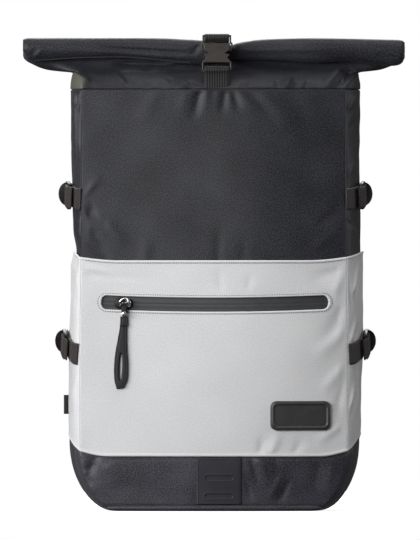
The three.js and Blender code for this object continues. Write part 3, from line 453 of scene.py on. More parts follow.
# two copies of the webbing: a darker one, painted shade from the closure strap's shadow, also on the tag and
# the haul loop, and a lighter one, painted light, on the side and shoulder straps
webbing = ribbedWebbing("darkenedClosureWebbing", webbingLooks["closure"])
sideWebbing = ribbedWebbing("lightenedSideWebbing", webbingLooks["side"])
backMesh = airMesh("spacerMesh", meshLook)
skins = {name: grained(name, dict(zip(skinColumns, row))) for name, row in skinLooks.items()}
placeCamera()
lightRoom()
print("finishes:", len(bpy.data.materials), "materials")


# The body's outer surface, which the panels lie on

bodyShape = {  # half widths, the side sway, y of the seams, and how far the faces bulge, by height
    "z": (0, 80, 180, 265, 350, 441),
    "half": (150, 149.8, 151, 150.2, 150.8, 152),
    "sway": (0.4, -1.2, 1.2, 2.6, 0.6, 0.1),
    "seam": (139, 139, 139, 138, 138, 138),
    "front": (-66, -67, -67, -64, -58, -51),
    "crown": (9, 12, 13, 6, 2, 1.5),
    "lean": (1, -7, -12, -4, 0, 0),
    "ridge": (0, 0, 0, 10, 14, 10),
    "backSeam": (142, 143, 143, 142, 142, 142),
    "back": (66, 66, 66, 65, 63, 60),
    "backCrown": (3, 3, 3, 3, 3, 2),
}
body = {
    "ridgeAt": 0.38, "ridgeSoft": 0.14, "bellyFront": 14, "bellyBack": 22, "bellyOver": 4,
    "cornerRun": 42, "cornerRise": 75, "edgeRun": 7, "edgeRise": 9, "gussetShare": 0.15, "gussetEase": 0.0012,
    "seamTop": 441, "topEase": 0.2, "seamEase": 0.15, "skew": -2.0, "cloth": 1.6, "gap": 0.3, "bandLift": 0.9,
    "baseFront": 57, "baseSides": 79, "baseFrom": 0.56, "bandFront": 262, "bandSides": 272, "bandFrom": 0.5,
    "tuck": 8, "feelRound": 0.009, "feelUp": 2,
}
bandOut = body["bandLift"] + body["cloth"]  # the pale band's outer face over the black cloth


def bodyAt(name, z):
    return curveThrough(bodyShape, "z", name, z)


def drawnIn(z, run, rise):  # a quarter ellipse
    depth = np.clip(1 - z / rise, 0, 1)
    return run * (1 - np.sqrt(1 - depth ** 2))


def narrowing(z):  # how much narrower the bag is where its bottom corners are rounded
    return 1 - drawnIn(z, body["cornerRun"], body["cornerRise"]) / bodyAt("half", z)


def rounded(x, y, z):  # a point of the section, pulled in where the bottom is rounded
    reach = (bodyAt("back", z) - bodyAt("front", z)) / 2
    shallow = 1 - drawnIn(z, body["edgeRun"], body["edgeRise"]) / reach
    return stack(x * narrowing(z), y * shallow, z)


def frontPoint(x, z):
    # Between the front seams a shallow parabola with a cubic that turns its right half away, and higher up a
    # softened tent: a straight line less the rounded distance from its ridge
    x, z = np.broadcast_arrays(np.asarray(x, float), np.asarray(z, float))
    t = (x - body["skew"]) / bodyAt("seam", z)
    right, left, here = (np.hypot(at - body["ridgeAt"], body["ridgeSoft"]) for at in (1.0, -1.0, t))
    tent = (right + left) / 2 + t * (right - left) / 2 - here
    bulge = (bodyAt("crown", z) - bodyAt("lean", z) * t) * (1 - t ** 2) + bodyAt("ridge", z) * tent
    return rounded(x, bodyAt("front", z) - bulge, z)


def backPoint(x, z):  # a shallow parabola between the back seams
    bulge = bodyAt("backCrown", z) * (1 - (x / bodyAt("backSeam", z)) ** 2)
    return rounded(x, bodyAt("back", z) + bulge, z)


def gussetPoint(side, t, z):  # a cubic curve from the front seam at t 0 to the back seam at t 1
    t, z = np.broadcast_arrays(np.asarray(t, float), np.asarray(z, float))
    front, back, u = bodyAt("front", z), bodyAt("back", z), 1 - t
    seam = bodyAt("seam", z) + side * body["skew"]
    belly = bodyAt("half", z) + body["bellyOver"] + side * bodyAt("sway", z)
    x = u ** 3 * seam + 3 * u * t * belly + t ** 3 * bodyAt("backSeam", z)
    y = (u ** 3 * front + 3 * u * u * t * (front + body["bellyFront"])
         + 3 * u * t * t * (back - body["bellyBack"]) + t ** 3 * back)
    return rounded(side * x, y, z)


def loopPoint(share, z):
    # Once round the body: 0 is the middle of the left gusset, then the front, the right gusset and the back
    share, z = np.broadcast_arrays(np.asarray(share, float) % 1, np.asarray(z, float))
    part = body["gussetShare"]
    onFront = share < 0.5
    along = np.where(onFront, share * 2, share * 2 - 1)
    across = (along - part) / (1 - 2 * part)
    early, late = along < part, along > 1 - part
    turn = 0.5 * np.where(early, along, 1 - along) / part
    side = np.where(early == onFront, -1.0, 1.0)
    gusset = gussetPoint(side, np.where(onFront, 0.5 - turn, 0.5 + turn), z)
    seam = np.where(onFront, bodyAt("seam", z), -bodyAt("backSeam", z))
    x = seam * (2 * across - 1) + np.where(onFront, body["skew"], 0)
    face = np.where(onFront[..., None], frontPoint(x, z), backPoint(x, z))
    return np.where((early | late)[..., None], gusset, face)


def climb(share, start):  # 0 in the middle of the front and the back, 1 on the gussets
    along = np.abs(((share * 2) % 1) - 0.5) * 2
    return smooth(along, start, 1.0)


def joinHeight(name, share):
    low, high, start = (body[name + part] for part in ("Front", "Sides", "From"))
    return low + (high - low) * climb(share, start)


frontLeft = body["gussetShare"] / 2  # shares of the loop at the seams
frontRight = 0.5 - frontLeft


def bodyNormal(share, z):  # square to the ways round and up, each taken over some mm, so that seams are soft
    across = loopPoint(share + body["feelRound"], z) - loopPoint(share - body["feelRound"], z)
    upwards = loopPoint(share, z + body["feelUp"]) - loopPoint(share, z - body["feelUp"])
    return unit(np.cross(across, upwards))


def offBody(share, z, out):  # a point outside the body's surface
    share, z, out = np.broadcast_arrays(share, z, out)
    return loopPoint(share, z) + bodyNormal(share, z) * out[..., None]


def offFront(x, z, out):
    return offBody(shareOfX(x, z), z, out)


def shareOfX(x, z):  # where on the loop a point of the front lies
    return frontLeft + (frontRight - frontLeft) * ((x - body["skew"]) / bodyAt("seam", z) + 1) / 2


# Black front panel and gussets

frontPanel = {
    "columns": 190, "rows": 118, "seamRadius": 1.2, "seamDepth": 0.7, "slackSize": 130, "slackHeight": 0.35,
    "folds": [  # x0, z0, x1, z1, half width, height: pulls below the closure strap, then creases lower down
        (-15, 446, -24, 408, 4.0, -2.3), (-8, 446, -12, 414, 3.6, 0.5), (-27, 446, -40, 408, 5.0, 0.5),
        (-4, 444, -3, 430, 2.2, -0.5), (11, 446, 6, 412, 3.6, -1.7), (17, 446, 18, 424, 3.0, 0.4),
        (15, 446, 26, 416, 3.4, -1.6), (21, 444, 44, 416, 4.6, 0.5), (31, 443, 64, 406, 5.6, -0.7),
        (50, 438, 84, 400, 8.0, 0.7), (76, 440, 104, 394, 9.0, -0.6), (-60, 440, -84, 398, 9.0, 0.6),
        (-75, 258, -70, 292, 7.0, 0.6), (2, 258, 4, 300, 5.0, -0.6), (28, 258, 30, 290, 5.0, -0.5),
        (110, 300, 137, 322, 6.0, -0.8), (104, 275, 136, 300, 6.0, 0.7), (-112, 262, -136, 284, 6.0, -0.8),
        (-134, 311, -124, 316, 7.0, -1.3), (-138, 330, -119, 350, 3.5, 0.9),
        (-112, 300, -92, 278, 6.0, 0.7), (-128, 292, -110, 268, 5.0, -0.7),
    ],
}
gusset = {
    "columns": 60, "rows": 130, "length": 118.0, "seamRadius": 1.5, "seamDepth": 0.9, "slackSize": 70,
    "slackHeight": 0.5, "gape": 3.0, "gapeTall": 28,
    "folds": {  # along the gusset from the front seam, z, to the same, half width, height
        "right": [(4, 308, 30, 288, 4.0, 1.3), (8, 300, 34, 304, 3.5, -1.2), (6, 352, 34, 372, 5.0, 1.2),
                  (3, 420, 30, 436, 5.0, 1.4), (10, 400, 40, 412, 6.0, -1.2)],
        "left": [(5, 438, 9, 352, 3.4, 1.8), (13, 436, 15, 350, 3.4, -1.8), (22, 440, 24, 345, 5.0, 1.8),
                 (4, 308, 10, 276, 3.4, 1.6), (13, 308, 16, 280, 3.2, -1.8), (24, 307, 27, 283, 4.0, 1.6),
                 (3, 420, 30, 436, 5.0, 1.4)],
    },
}


def seamDrop(distances, style):  # the cloth's drop at the nearest of its seams
    return np.max([turnedEdge(d, style["seamRadius"], style["seamDepth"]) for d in distances], axis=0)


def crumpled(x, z, style, folds, shift=0.0):  # the folds and the slack of a panel
    return foldField(x, z, folds) + slack(x + shift, z, style["slackSize"], style["slackHeight"])


def gussetSides(style, low, high):
    # For each gusset: name, places on the loop, heights from low to high, the way from the front seam in mm,
    # and its folds, with slack that differs from side to side
    t, up = np.meshgrid(eased(style["columns"]), eased(style["rows"]))
    t = body["gussetEase"] + (1 - 2 * body["gussetEase"]) * t
    for start, name, fromFront in ((frontRight, "right", t), (1 - frontLeft, "left", 1 - t)):
        share = start + t * body["gussetShare"]
        z = low(share) + (high(share) - low(share)) * up
        run = fromFront * style["length"]
        yield name, share, z, run, crumpled(run, z, style, style["folds"][name], 300 * start)


def baseJoin(share):
    return joinHeight("base", share)


def bandJoin(share):
    return joinHeight("band", share)


def underBand(share):
    return bandJoin(share) - body["tuck"]


def panelTop(share):
    return body["seamTop"] - body["topEase"]


def buildFrontPanel():
    s = frontPanel
    side, up = np.meshgrid(eased(s["columns"]), eased(s["rows"]))
    share = frontLeft + (frontRight - frontLeft) * side
    z = underBand(share) + (panelTop(share) - underBand(share)) * up
    reach = bodyAt("seam", z) - body["seamEase"]
    x = (2 * side - 1) * reach + body["skew"]
    seams = [reach - np.abs(x - body["skew"]), body["seamTop"] - z]
    calm = 0.25 + 0.75 * smooth(seams[0], 0, 10) * smooth(seams[1], 0, 6)  # folds are lower at the seams
    points = offFront(x, z, crumpled(x, z, s, s["folds"]) * calm - seamDrop(seams, s))
    makePiece("front_cloth", [patch(points)], blackCloth, "black_cloth", "front_panel", wall=body["cloth"])


def buildGussets():
    s = gusset
    for name, share, z, run, folds in gussetSides(s, underBand, panelTop):
        seams = [s["length"] - run, body["seamTop"] - z]
        out = folds * smooth(np.minimum(run, np.min(seams, axis=0)), 0, 8) - seamDrop(seams, s)
        if name == "left":  # the side pocket's mouth stands open
            deep = smooth(bandJoin(share) + s["gapeTall"] - z, 0, s["gapeTall"])
            out = out - s["gape"] * deep * smooth(run, 2, 16)
        makePiece("gusset_cloth_" + name, [patch(offBody(share, z, out))], blackCloth, "black_cloth",
                  "gusset_" + name, wall=body["cloth"])


buildFrontPanel()
buildGussets()
print("black panels done")


# Pale band: the front with its zip window, and a pocket on each side

zipStyle = {"x": -1, "z": 218.4, "length": 237.5, "height": 14.5, "corner": 6.3, "hem": 2.3, "sag": 2.8,
            "hidden": 6, "columns": 460, "rows": 38, "thick": 1.0}
pocket = {
    "margin": 26, "window": 150, "below": 84, "above": 34, "seamRadius": 1.0, "seamDepth": 0.5, "hem": 2.8,
    "slackSize": 150, "slackHeight": 0.3, "level": 150.0,
    "folds": [  # x0, z0, x1, z1, half width, height
        (-134, 256, -72, 232, 5.0, 1.0), (-132, 248, -66, 240, 4.5, -1.0), (136, 246, 104, 206, 7.0, 1.3),
        (128, 252, 96, 240, 6.0, -1.0), (134, 214, 112, 172, 7.0, -1.2), (136, 190, 100, 158, 7.0, 1.3),
        (132, 150, 108, 122, 6.0, 1.3), (136, 136, 124, 96, 5.0, -1.3), (128, 88, 104, 72, 5.0, 1.2),
        (58, 60, 66, 84, 5.0, 1.2), (46, 60, 50, 80, 4.0, -1.0), (82, 60, 92, 78, 5.0, -0.9),
        (6, 232, 2, 256, 4.0, -0.5), (34, 232, 37, 250, 4.0, -0.6),
    ],
}
sidePocket = {
    "columns": 60, "rows": 130, "length": 122.0, "seamRadius": 1.5, "seamDepth": 0.9, "slackSize": 80,
    "slackHeight": 0.5, "drawn": 2.6, "drawnTall": 18,
    "folds": {  # along the gusset from the front seam, z, to the same, half width, height
        "right": [(12, 231, 30, 262, 3.6, 2.2), (17, 224, 34, 250, 3.0, -1.6), (4, 178, 22, 206, 3.6, 2.2),
                  (9, 172, 26, 194, 3.0, -1.6), (3, 108, 16, 140, 3.6, 2.2), (8, 100, 22, 124, 3.0, -1.6),
                  (4, 240, 8, 200, 3.0, -1.2), (26, 150, 30, 100, 5.0, 1.4)],
        "left": [(4, 250, 26, 200, 4.0, 1.2), (10, 240, 16, 214, 3.0, -1.0), (6, 140, 26, 112, 4.0, 1.0),
                 (4, 128, 10, 92, 3.0, -0.9)],
    },
}


def roundEnd(x, length, height, corner):  # half height of a strip with rounded ends at x from its middle
    past = np.maximum(np.abs(x) - (length / 2 - corner), 0)
    return height / 2 - corner + np.sqrt(np.maximum(corner ** 2 - past ** 2, 0))


def zipHeight(x):  # the zip sags a little between its ends
    return zipStyle["z"] - zipStyle["sag"] * (1 - ((x - zipStyle["x"]) / (zipStyle["length"] / 2)) ** 2)


def fromZip(x, z):  # distance outside the zip's window, a box with rounded corners
    corner = zipStyle["corner"]
    past = np.abs(x - zipStyle["x"]) - zipStyle["length"] / 2 + corner
    above = np.abs(z - zipHeight(x)) - zipStyle["height"] / 2 + corner
    outside = np.hypot(np.maximum(past, 0), np.maximum(above, 0))
    return outside + np.minimum(np.maximum(past, above), 0) - corner


def hemOut(distance, reach):  # a folded hem: round at its edge, proud up to the stitches, grooved under them
    return (0.7 * (1 - smooth(distance, reach - 1.2, reach + 0.8)) - 0.22 * bell(distance - reach, 0.6)
            - turnedEdge(distance, 1.4, 1.0))


def lowSeam(distance):  # the pale cloth's lower edge: turned in, with a low roll above
    return 0.5 * bell(distance - 2.0, 1.1) - turnedEdge(distance, 1.2, 0.9)


def buildPocketFront():
    s = pocket
    window = zipStyle
    left, right = (window["x"] + d * window["length"] / 2 for d in (-1, 1))
    seam = float(bodyAt("seam", s["level"])) - body["seamEase"]
    first, last = body["skew"] - seam, body["skew"] + seam
    away = np.linspace(0, 1, s["margin"]) ** 1.3
    middle = (left + right) / 2 - (right - left) / 2 * np.cos(np.linspace(0, np.pi, s["window"]))
    x0 = np.concatenate([first + (left - first) * away[:-1], middle, last - (last - right) * away[::-1][1:]])
    half = roundEnd(x0 - window["x"], window["length"], window["height"], window["corner"])
    half = np.where((x0 > left) & (x0 < right), half, 0)
    share = shareOfX(x0, s["level"])
    low, high = baseJoin(share), bandJoin(share)
    patches = []
    for a, b, rows in ((low, zipHeight(x0) - half, s["below"]), (zipHeight(x0) + half, high, s["above"])):
        z = a + (b - a) * eased(rows)[:, None]
        x = body["skew"] + (x0 - body["skew"]) * (bodyAt("seam", z) - body["seamEase"]) / seam
        side, top, bottom, rim = seam - np.abs(x0 - body["skew"]) + 0 * z, high - z, z - low, fromZip(x, z)
        calm = smooth(side, 0, 10) * smooth(top, 0, 14) * smooth(bottom, 0, 8) * smooth(rim, 1, 12)
        out = (crumpled(x, z, s, s["folds"]) * calm + bandOut + hemOut(top, s["hem"])
               + 0.7 * hemOut(rim, window["hem"]) - seamDrop([side], s) + lowSeam(bottom))
        # painted highlight, partly wear: a lighter tone along the top hem, round the zip window and on the
        # lower edge
        highlightAndWear = np.maximum.reduce([bell(top - 0.8, 0.8), 0.7 * bell(rim - 0.7, 0.6), bell(bottom - 1.2, 1.0)])
        patches.append(patch(offFront(x, z, out), uv=np.stack([x, z], -1), highlightAndWear=highlightAndWear))
    makePiece("pocket_cloth", patches, paleCloth, "pale_cloth", "pocket_front", wall=body["cloth"])


def buildSidePockets():
    s = sidePocket
    for name, share, z, run, folds in gussetSides(s, baseJoin, bandJoin):
        top, bottom = bandJoin(share) - z, z - baseJoin(share)
        calm = smooth(np.minimum(run, s["length"] - run), 0, 8) * smooth(top, 0, 10)
        out = (folds * calm + bandOut + hemOut(top, pocket["hem"]) - seamDrop([s["length"] - run], s)
               + lowSeam(bottom))
        if name == "left":  # its mouth is drawn in
            out = out - s["drawn"] * (1 - smooth(top, 0, s["drawnTall"])) * smooth(run, 2, 16)
        # painted highlight, partly wear: a lighter tone along the top hem and the lower edge
        highlightAndWear = np.maximum(bell(top - 0.8, 1.0), bell(bottom - 1.2, 1.0))
        makePiece("side_pocket_cloth_" + name, [patch(offBody(share, z, out), highlightAndWear=highlightAndWear)], paleCloth,
                  "pale_cloth", "side_pocket_" + name, wall=body["cloth"])


buildPocketFront()
buildSidePockets()
print("pale band done")


# Base: a shallow boot, its lamp patch and its piped edge

boot = {  # the two runs are about the way round the bag in mm, for the slack and for the ridges
    "columns": 380, "rows": 60, "slackSize": 110, "slackHeight": 0.3, "slackRun": 900,
    "ridgeAt": 0.055, "ridge": 0.7, "ridgeRun": 800, "swell": 1.6,
    "folds": [  # x0, z0, x1, z1, half width, height, on the front
        (36, 60, 46, 24, 3.4, -1.5), (45, 58, 58, 26, 5.0, 1.1), (76, 30, 64, 4, 3.8, -1.4),
        (68, 36, 54, 8, 4.0, 0.9), (33, 30, 38, 8, 2.6, -0.8), (60, 60, 66, 44, 4.0, -0.9),
        (-124, 60, -128, 50, 5.0, -2.6), (-128, 50, -134, 38, 5.0, -2.6), (-134, 38, -130, 24, 5.0, -1.4),
        (-112, 48, -100, 22, 12.0, 1.0), (122, 48, 116, 14, 5.0, 1.0), (108, 50, 102, 18, 6.0, -1.0),
    ],
}
lampPatch = {
    "x": 3.6, "width": 46.6, "low": 7.4, "high": 56.3, "thick": 1.2, "slotWidth": 28, "slotHeight": 3.6,
    "slots": (16, 35), "columns": 70, "ends": 14, "rows": 20, "hem": 2.2, "lining": 0.95, "past": 0.8,
}
piping = {"radius": 2.6, "z": 3.3, "gap": 0.7, "from": 0.076, "steps": 240, "sides": 14, "taper": 14.0}
tag = {"z": 111, "height": 20, "reach": 5.0, "thick": 1.2, "t": 0.45, "columns": 20, "rows": 24, "cloth": 0.5}


def bootSwell(z):  # the boot grows fuller as it rises
    return boot["swell"] * smooth(z, 10, 50)


def levelOut(share, z, step):  # the level direction out of the body, square to the way round
    ahead = loopPoint(share + step, z) - loopPoint(share - step, z)
    return unit(np.stack([ahead[..., 1], -ahead[..., 0], 0 * ahead[..., 0]], -1))


def buildBoot():
    s = boot
    share = np.arange(s["columns"]) / s["columns"]
    top = baseJoin(share) + body["tuck"] / 2
    z = top * np.linspace(0, 1, s["rows"])[:, None] ** 1.5
    places = np.broadcast_to(share, z.shape)
    wall = loopPoint(places, z)
    onFront = smooth(-wall[..., 1], 30, 50)
    lampSide = np.abs(wall[..., 0] - lampPatch["x"]) - lampPatch["width"] / 2
    calm = smooth(z, 4, 14) * smooth(top - z, 3, 9) * np.where(onFront > 0.5, smooth(lampSide, 0, 8), 1)
    loose = slack(share * s["slackRun"], z, s["slackSize"], s["slackHeight"])
    ridges = sum(bell((share - at) * s["ridgeRun"], 1.3) for at in (s["ridgeAt"], 0.5 - s["ridgeAt"]))
    ridges = ridges * smooth(z, 6, 16)
    out = ((foldField(wall[..., 0], z, s["folds"]) * onFront + loose) * calm + s["ridge"] * ridges
           + bootSwell(z) * smooth(top - z - body["tuck"] / 2, 0.5, 4))
    wall = offBody(places, z, out)
    floor = np.array([0.0, 0.35, 0.7, 0.9])[:, None, None] * wall[:1]
    # painted highlight, partly wear: the seam ridges at the front corners take the lighter tone
    highlightAndWear = np.concatenate([np.zeros((len(floor), s["columns"])), 0.7 * ridges])
    makePiece("base_cloth", [patch(np.concatenate([floor, wall]), closed=True, highlightAndWear=highlightAndWear)], baseCloth,
              "black_cloth", "base_boot", wall=body["cloth"])


def onLampPatch(x, z, out):  # a grid on the patch, placed from its middle
    points = offFront((lampPatch["x"] + x) / narrowing(z), z, out + bootSwell(z))
    return patch(points, uv=np.stack([x, z], -1))


def buildLampPatch():
    # Three strips between the patch's edges and its two slots, which share their points beside the slots
    s = lampPatch
    half, long, tall = s["width"] / 2, s["slotWidth"] / 2, s["slotHeight"] / 2
    beside = half - (half - long) * np.linspace(0, 1, s["ends"])[:-1]
    x0 = np.concatenate([-beside, -long * np.cos(np.linspace(0, np.pi, s["columns"])), beside[::-1]])
    gape = np.where(np.abs(x0) < long, roundEnd(x0, s["slotWidth"], s["slotHeight"], tall - body["gap"]), 0)
    edges = [s["low"] + 0 * x0]
    for slot in s["slots"]:
        edges += [slot - gape, slot + gape]
    edges.append(s["high"] + 0 * x0)
    patches = []
    for a, b in zip(edges[::2], edges[1::2]):
        z = a + (b - a) * eased(s["rows"])[:, None]
        x = np.broadcast_to(x0, z.shape)
        past = np.maximum(np.abs(x) - long + tall, 0)
        rim = np.min([np.hypot(past, z - slot) - tall for slot in s["slots"]], axis=0)
        edge = np.minimum.reduce([half - np.abs(x), s["high"] - z, z - s["low"]])
        out = (body["gap"] + s["thick"] + 0.15 * bell(rim - 1.2, 1.0) - turnedEdge(rim, 1.0, 0.9)
               - turnedEdge(edge, 0.9, 0.9) - 0.12 * bell(edge - s["hem"], 0.7))
        patches.append(onLampPatch(x, z, out))
    for slot in s["slots"]:  # the strip that a lamp's clip goes behind
        across, up = np.meshgrid(np.linspace(-1, 1, 30), np.linspace(-1, 1, 8))
        patches.append(onLampPatch(across * (long + s["past"]), slot + up * (tall + s["past"]), s["lining"]))
    makePiece("lamp_patch_cloth", patches, skins["coatedPatch"], "coated_patch", "lamp_patch",
              wall=s["thick"])


def buildPiping():  # a cord along the base's front edge, thinning to both ends
    s = piping
    share = np.linspace(s["from"], 0.5 - s["from"], s["steps"])
    path = loopPoint(share, s["z"]) + (s["radius"] + s["gap"]) * levelOut(share, s["z"], 0.012)
    ends = np.minimum(np.arange(s["steps"]), np.arange(s["steps"])[::-1])
    thin = np.sqrt(1 - (1 - np.clip((ends + 0.4) / s["taper"], 0, 1)) ** 2)
    cord = tube(path, disc(s["radius"], s["sides"]), (0, 0, 1), thin)
    makePiece("bottom_piping", [cord], baseCloth, "black_cloth", "base_piping")


def buildTag():
    # A folded ribbon: a hairpin from the side pocket's cloth out to its fold and back
    s = tag
    root = gussetPoint(-1, s["t"], s["z"])
    turn = np.linspace(-np.pi / 2, np.pi / 2, s["columns"])
    half, start = 0.55 * s["thick"], -0.2
    bend = np.stack([s["reach"] - s["thick"] + 0.9 * s["thick"] * np.cos(turn), half * np.sin(turn)], -1)
    legs = np.concatenate([[[start, -half]], bend, [[start, half]]])
    z = s["z"] + s["height"] * (np.linspace(0, 1, s["rows"]) - 0.5)[:, None]
    points = stack(root[0] - bandOut - body["gap"] - legs[:, 0], root[1] + legs[:, 1], z)
    makePiece("side_ribbon", [patch(points[:, ::-1])], webbing, "webbing", "side_tag", wall=s["cloth"])


buildBoot()
buildLampPatch()
buildPiping()
buildTag()
print("base done")


# Collar and rolled mouth: one tube of cloth that flattens and rolls up forwards

collar = {  # how far the tube has spread to the roll's width and closed from front to back, by height
    "z": (433, 441, 449, 456.5, 459.2, 460.2, 461.5, 464.6, 468, 470.4, 474, 479),
    "spread": (0, 0, -0.01, -0.05, -0.03, 0.2, 0.42, 0.64, 0.8, 0.9, 0.98, 1),
    "close": (0, 0.02, 0.2, 0.5, 0.63, 0.67, 0.73, 0.84, 0.93, 0.96, 0.99, 1),
}
rollShape = {  # top and lower edge of the roll along its length
    "x": (-200, -197, -193, -147, -99, -78, -51, -33, -14, 0, 17, 22, 34, 47, 72, 105, 140, 181,
          192, 197, 200),
    "top": (494.6, 495, 495, 495, 495, 495, 494.6, 493.6, 492.5, 490, 488, 489.6, 491.8, 493.4, 494.4,
            494.9, 494.4, 493.4, 493, 492, 489.5),
    "low": (480, 473, 470.5, 473.4, 474.6, 473.4, 470.4, 468.4, 468, 470, 472.6, 472.6, 472.4, 472,
            471.4, 469.6, 470.2, 465.8, 466.6, 470, 477),
}
mouth = {
    "columns": 336, "rollRows": 96, "half": 200, "shift": -1.7, "y": -33, "z": 483.5, "radius": 10.7,
    "pitch": 4.1, "layers": 2.6, "turns": 2.0, "startDeg": -25, "tucked": 2.5, "lining": 1.6, "proud": 0.3,
    "neckRows": ((433, 457, 22), (457.6, 463, 16), (464, 478, 14)), "liningRows": (462, 433, 12),
    "highlitEarZ": (441, 447, 452.5, 455.7, 458.8), "highlitEarX": (-140, -138.6, -138, -142.3, -147.5),  # painted highlight on the collar's left ear, where its side faces the lamps
    "lidBack": 10, "highlitEarMiddle": 450, "highlitEarTall": 9, "highlitEarBack": (5, 30),
    "hemFrom": 0.78, "hemTo": 0.985, "hemDeg": 238, "hemRadius": 0.6, "hemDrop": 0.5, "hemSteps": 160,
    "collarFolds": [  # x0, z0, x1, z1, half width, height
        (-96, 461, -66, 460, 1.8, 1.7), (-66, 460, -14, 470, 2.0, 2.4), (-98, 469, -32, 466.5, 3.0, -3.0),
        (-20, 460, -60, 453, 5.0, -1.4), (-97, 457, -85, 444, 3.0, -1.6), (-104, 456, -94, 444, 4.0, 1.4),
        (-76, 449, -73, 441, 2.4, -1.4), (-56, 449, -54, 441, 2.4, -1.4), (-48, 453, -42, 441, 2.6, -1.6),
        (-36, 452, -32, 441, 3.5, 1.2), (-26, 449, -22, 441, 2.6, -1.5), (31, 450, 28, 441, 2.6, -1.4),
        (64, 450, 67, 441, 2.4, -1.6), (78, 453, 72, 441, 3.2, 2.0), (86, 449, 84, 441, 2.2, -1.5),
        (97, 450, 94, 441, 2.4, -1.5), (130, 459, 111, 441, 4.6, 3.8), (141, 461, 126, 442, 4.2, -3.6),
        (148, 460, 141, 444, 2.6, 2.2), (-142, 458, -132, 442, 4.0, 1.6),
        (-130, 456, -124, 442, 4.0, -1.5), (18, 468, 60, 458, 4.0, 1.2), (24, 460, 70, 454, 5.0, -1.0),
    ],
    "rollFolds": [  # the same, on the roll's front
        (-33, 479, -152, 486.5, 2.2, -1.9), (-33, 475, -140, 481.5, 3.0, 1.5),
        (-193, 475.5, -187, 484, 1.6, -1.0),
        (-189, 476, -180, 483, 2.0, 0.9), (24, 482, 150, 484, 3.0, 0.6), (24, 477, 150, 478, 2.6, -0.6),
        (-16, 489, -26, 476, 2.4, -1.4), (20, 486, 34, 476, 2.6, -1.2), (170, 476, 194, 472, 3.0, -0.8),
    ],
}


def rollPoint(share, deg):
    # A flattened tube wound up: its radius shrinks a pitch a turn, the cloth that faced front lies inside,
    # and the height above and below the roll's axis follows the table
    s = mouth
    onFront = share < 0.5
    along = np.where(onFront, share * 2, 2 - share * 2)
    x = s["half"] * (2 * along - 1) + s["shift"]
    edge = np.sqrt(np.maximum(1 - (2 * along - 1) ** 80, 0))
    layer = np.where(onFront, -0.5, 0.5) * s["layers"] * edge
    radius = s["radius"] - s["pitch"] * (deg - s["startDeg"]) / 360 + layer
    turn = np.radians(deg)
    outer = s["radius"] + s["layers"] / 2  # it has shrunk by a third of a pitch at the top, and by 0.82 below
    upper = (curveThrough(rollShape, "x", "top", x) - s["z"]) / (outer - s["pitch"] * 0.32)
    lower = (s["z"] - curveThrough(rollShape, "x", "low", x)) / (outer - s["pitch"] * 0.82)
    settled = smooth(deg, s["startDeg"], 60)  # the tube comes up to the roll at its plain height
    tall = 1 + (np.where(np.sin(turn) > 0, upper, lower) - 1) * settled
    return stack(x, s["y"] + radius * np.cos(turn), s["z"] + radius * np.sin(turn) * tall)


def collarPoint(share, z, inset):
    # Between the body's open ring, moved in, and the flat tube below the roll, as the table says
    spread, close = (curveThrough(collar, "z", name, z) for name in ("spread", "close"))
    ring = loopPoint(share, np.minimum(z, body["seamTop"]))
    ring = ring - levelOut(share, body["seamTop"], 0.002) * np.asarray(inset)[..., None]
    flat = rollPoint(share, np.full(share.shape, float(mouth["startDeg"])))
    x = ring[..., 0] + (flat[..., 0] - ring[..., 0]) * spread
    y = ring[..., 1] + (flat[..., 1] - ring[..., 1]) * close
    return stack(x, y, z)


def buildMouth():
    # From the lid under the roll: the lining down to the seam, the collar up, the roll, and its flattened end
    s = mouth
    ring = np.arange(s["columns"]) / s["columns"]
    share, z = np.meshgrid(ring, np.concatenate([np.linspace(*rows) for rows in s["neckRows"]]))
    over = smooth(z, 440.6, 442)  # tucked in below the seam, a little proud above it
    neck = collarPoint(share, z, s["tucked"] * (1 - over) - s["proud"] * over)
    onFront = smooth(0.5 - np.abs(share - 0.25) * 2, 0.02, 0.1)
    fold = foldField(neck[..., 0], neck[..., 2], s["collarFolds"]) * onFront * smooth(z, 438, 444)
    neck = pushed(neck, fold + slack(neck[..., 0], z * 2, 60, 0.4) * smooth(z, 441, 450), closed=True)
    share, deg = np.meshgrid(ring, np.linspace(s["startDeg"], 360 * s["turns"], s["rollRows"]))
    rolled = rollPoint(share, deg)
    front = (share >= 0.5) * smooth(deg, 95, 130) * (1 - smooth(deg, 255, 280))
    crease = foldField(rolled[..., 0], rolled[..., 2], s["rollFolds"])
    crease = crease + slack(rolled[..., 0], deg / 4, 90, 0.35)
    rolled = pushed(rolled, crease * front, closed=True)
    flatEnd = (rolled[-1:] + rolled[-1:, (-np.arange(s["columns"])) % s["columns"]]) / 2
    lining = collarPoint(*np.meshgrid(ring, np.linspace(*s["liningRows"])), s["tucked"] + s["lining"])
    lid = lining[:1] * (1, 0, 1) + (0, s["y"] + s["lidBack"], 0)
    points = np.concatenate([lid, lining, neck, rolled, flatEnd])
    x, y, z = np.moveaxis(points, -1, 0)
    # painted highlight: the collar's left ear takes the lighter tone, as if lit from the left
    highlightAndWear = smooth(np.interp(z, s["highlitEarZ"], s["highlitEarX"]) - x, -1.5, 1.0) * (1 - smooth(y, *s["highlitEarBack"]))
    highlightAndWear = highlightAndWear * (np.abs(z - s["highlitEarMiddle"]) < s["highlitEarTall"])
    along = np.linspace(s["hemFrom"], s["hemTo"], s["hemSteps"])
    line = rollPoint(along, np.full(along.shape, float(s["hemDeg"])))
    line = line[::-1] - (0, s["hemDrop"], s["hemDrop"])  # the cloth's hem, on the roll's lower edge
    # the hem's small share of the lighter tone is painted highlight along the roll's lower edge
    hem = tube(line, disc(s["hemRadius"], 12), (0, 0, 1), highlightAndWear=0.15)
    cloth = patch(points, closed=True, highlightAndWear=highlightAndWear)
    makePiece("rolled_mouth", [cloth, hem], blackCloth, "black_cloth", "roll_top")


buildMouth()
print("rolled mouth done")


# Zip: coated tape, slider, link and puller

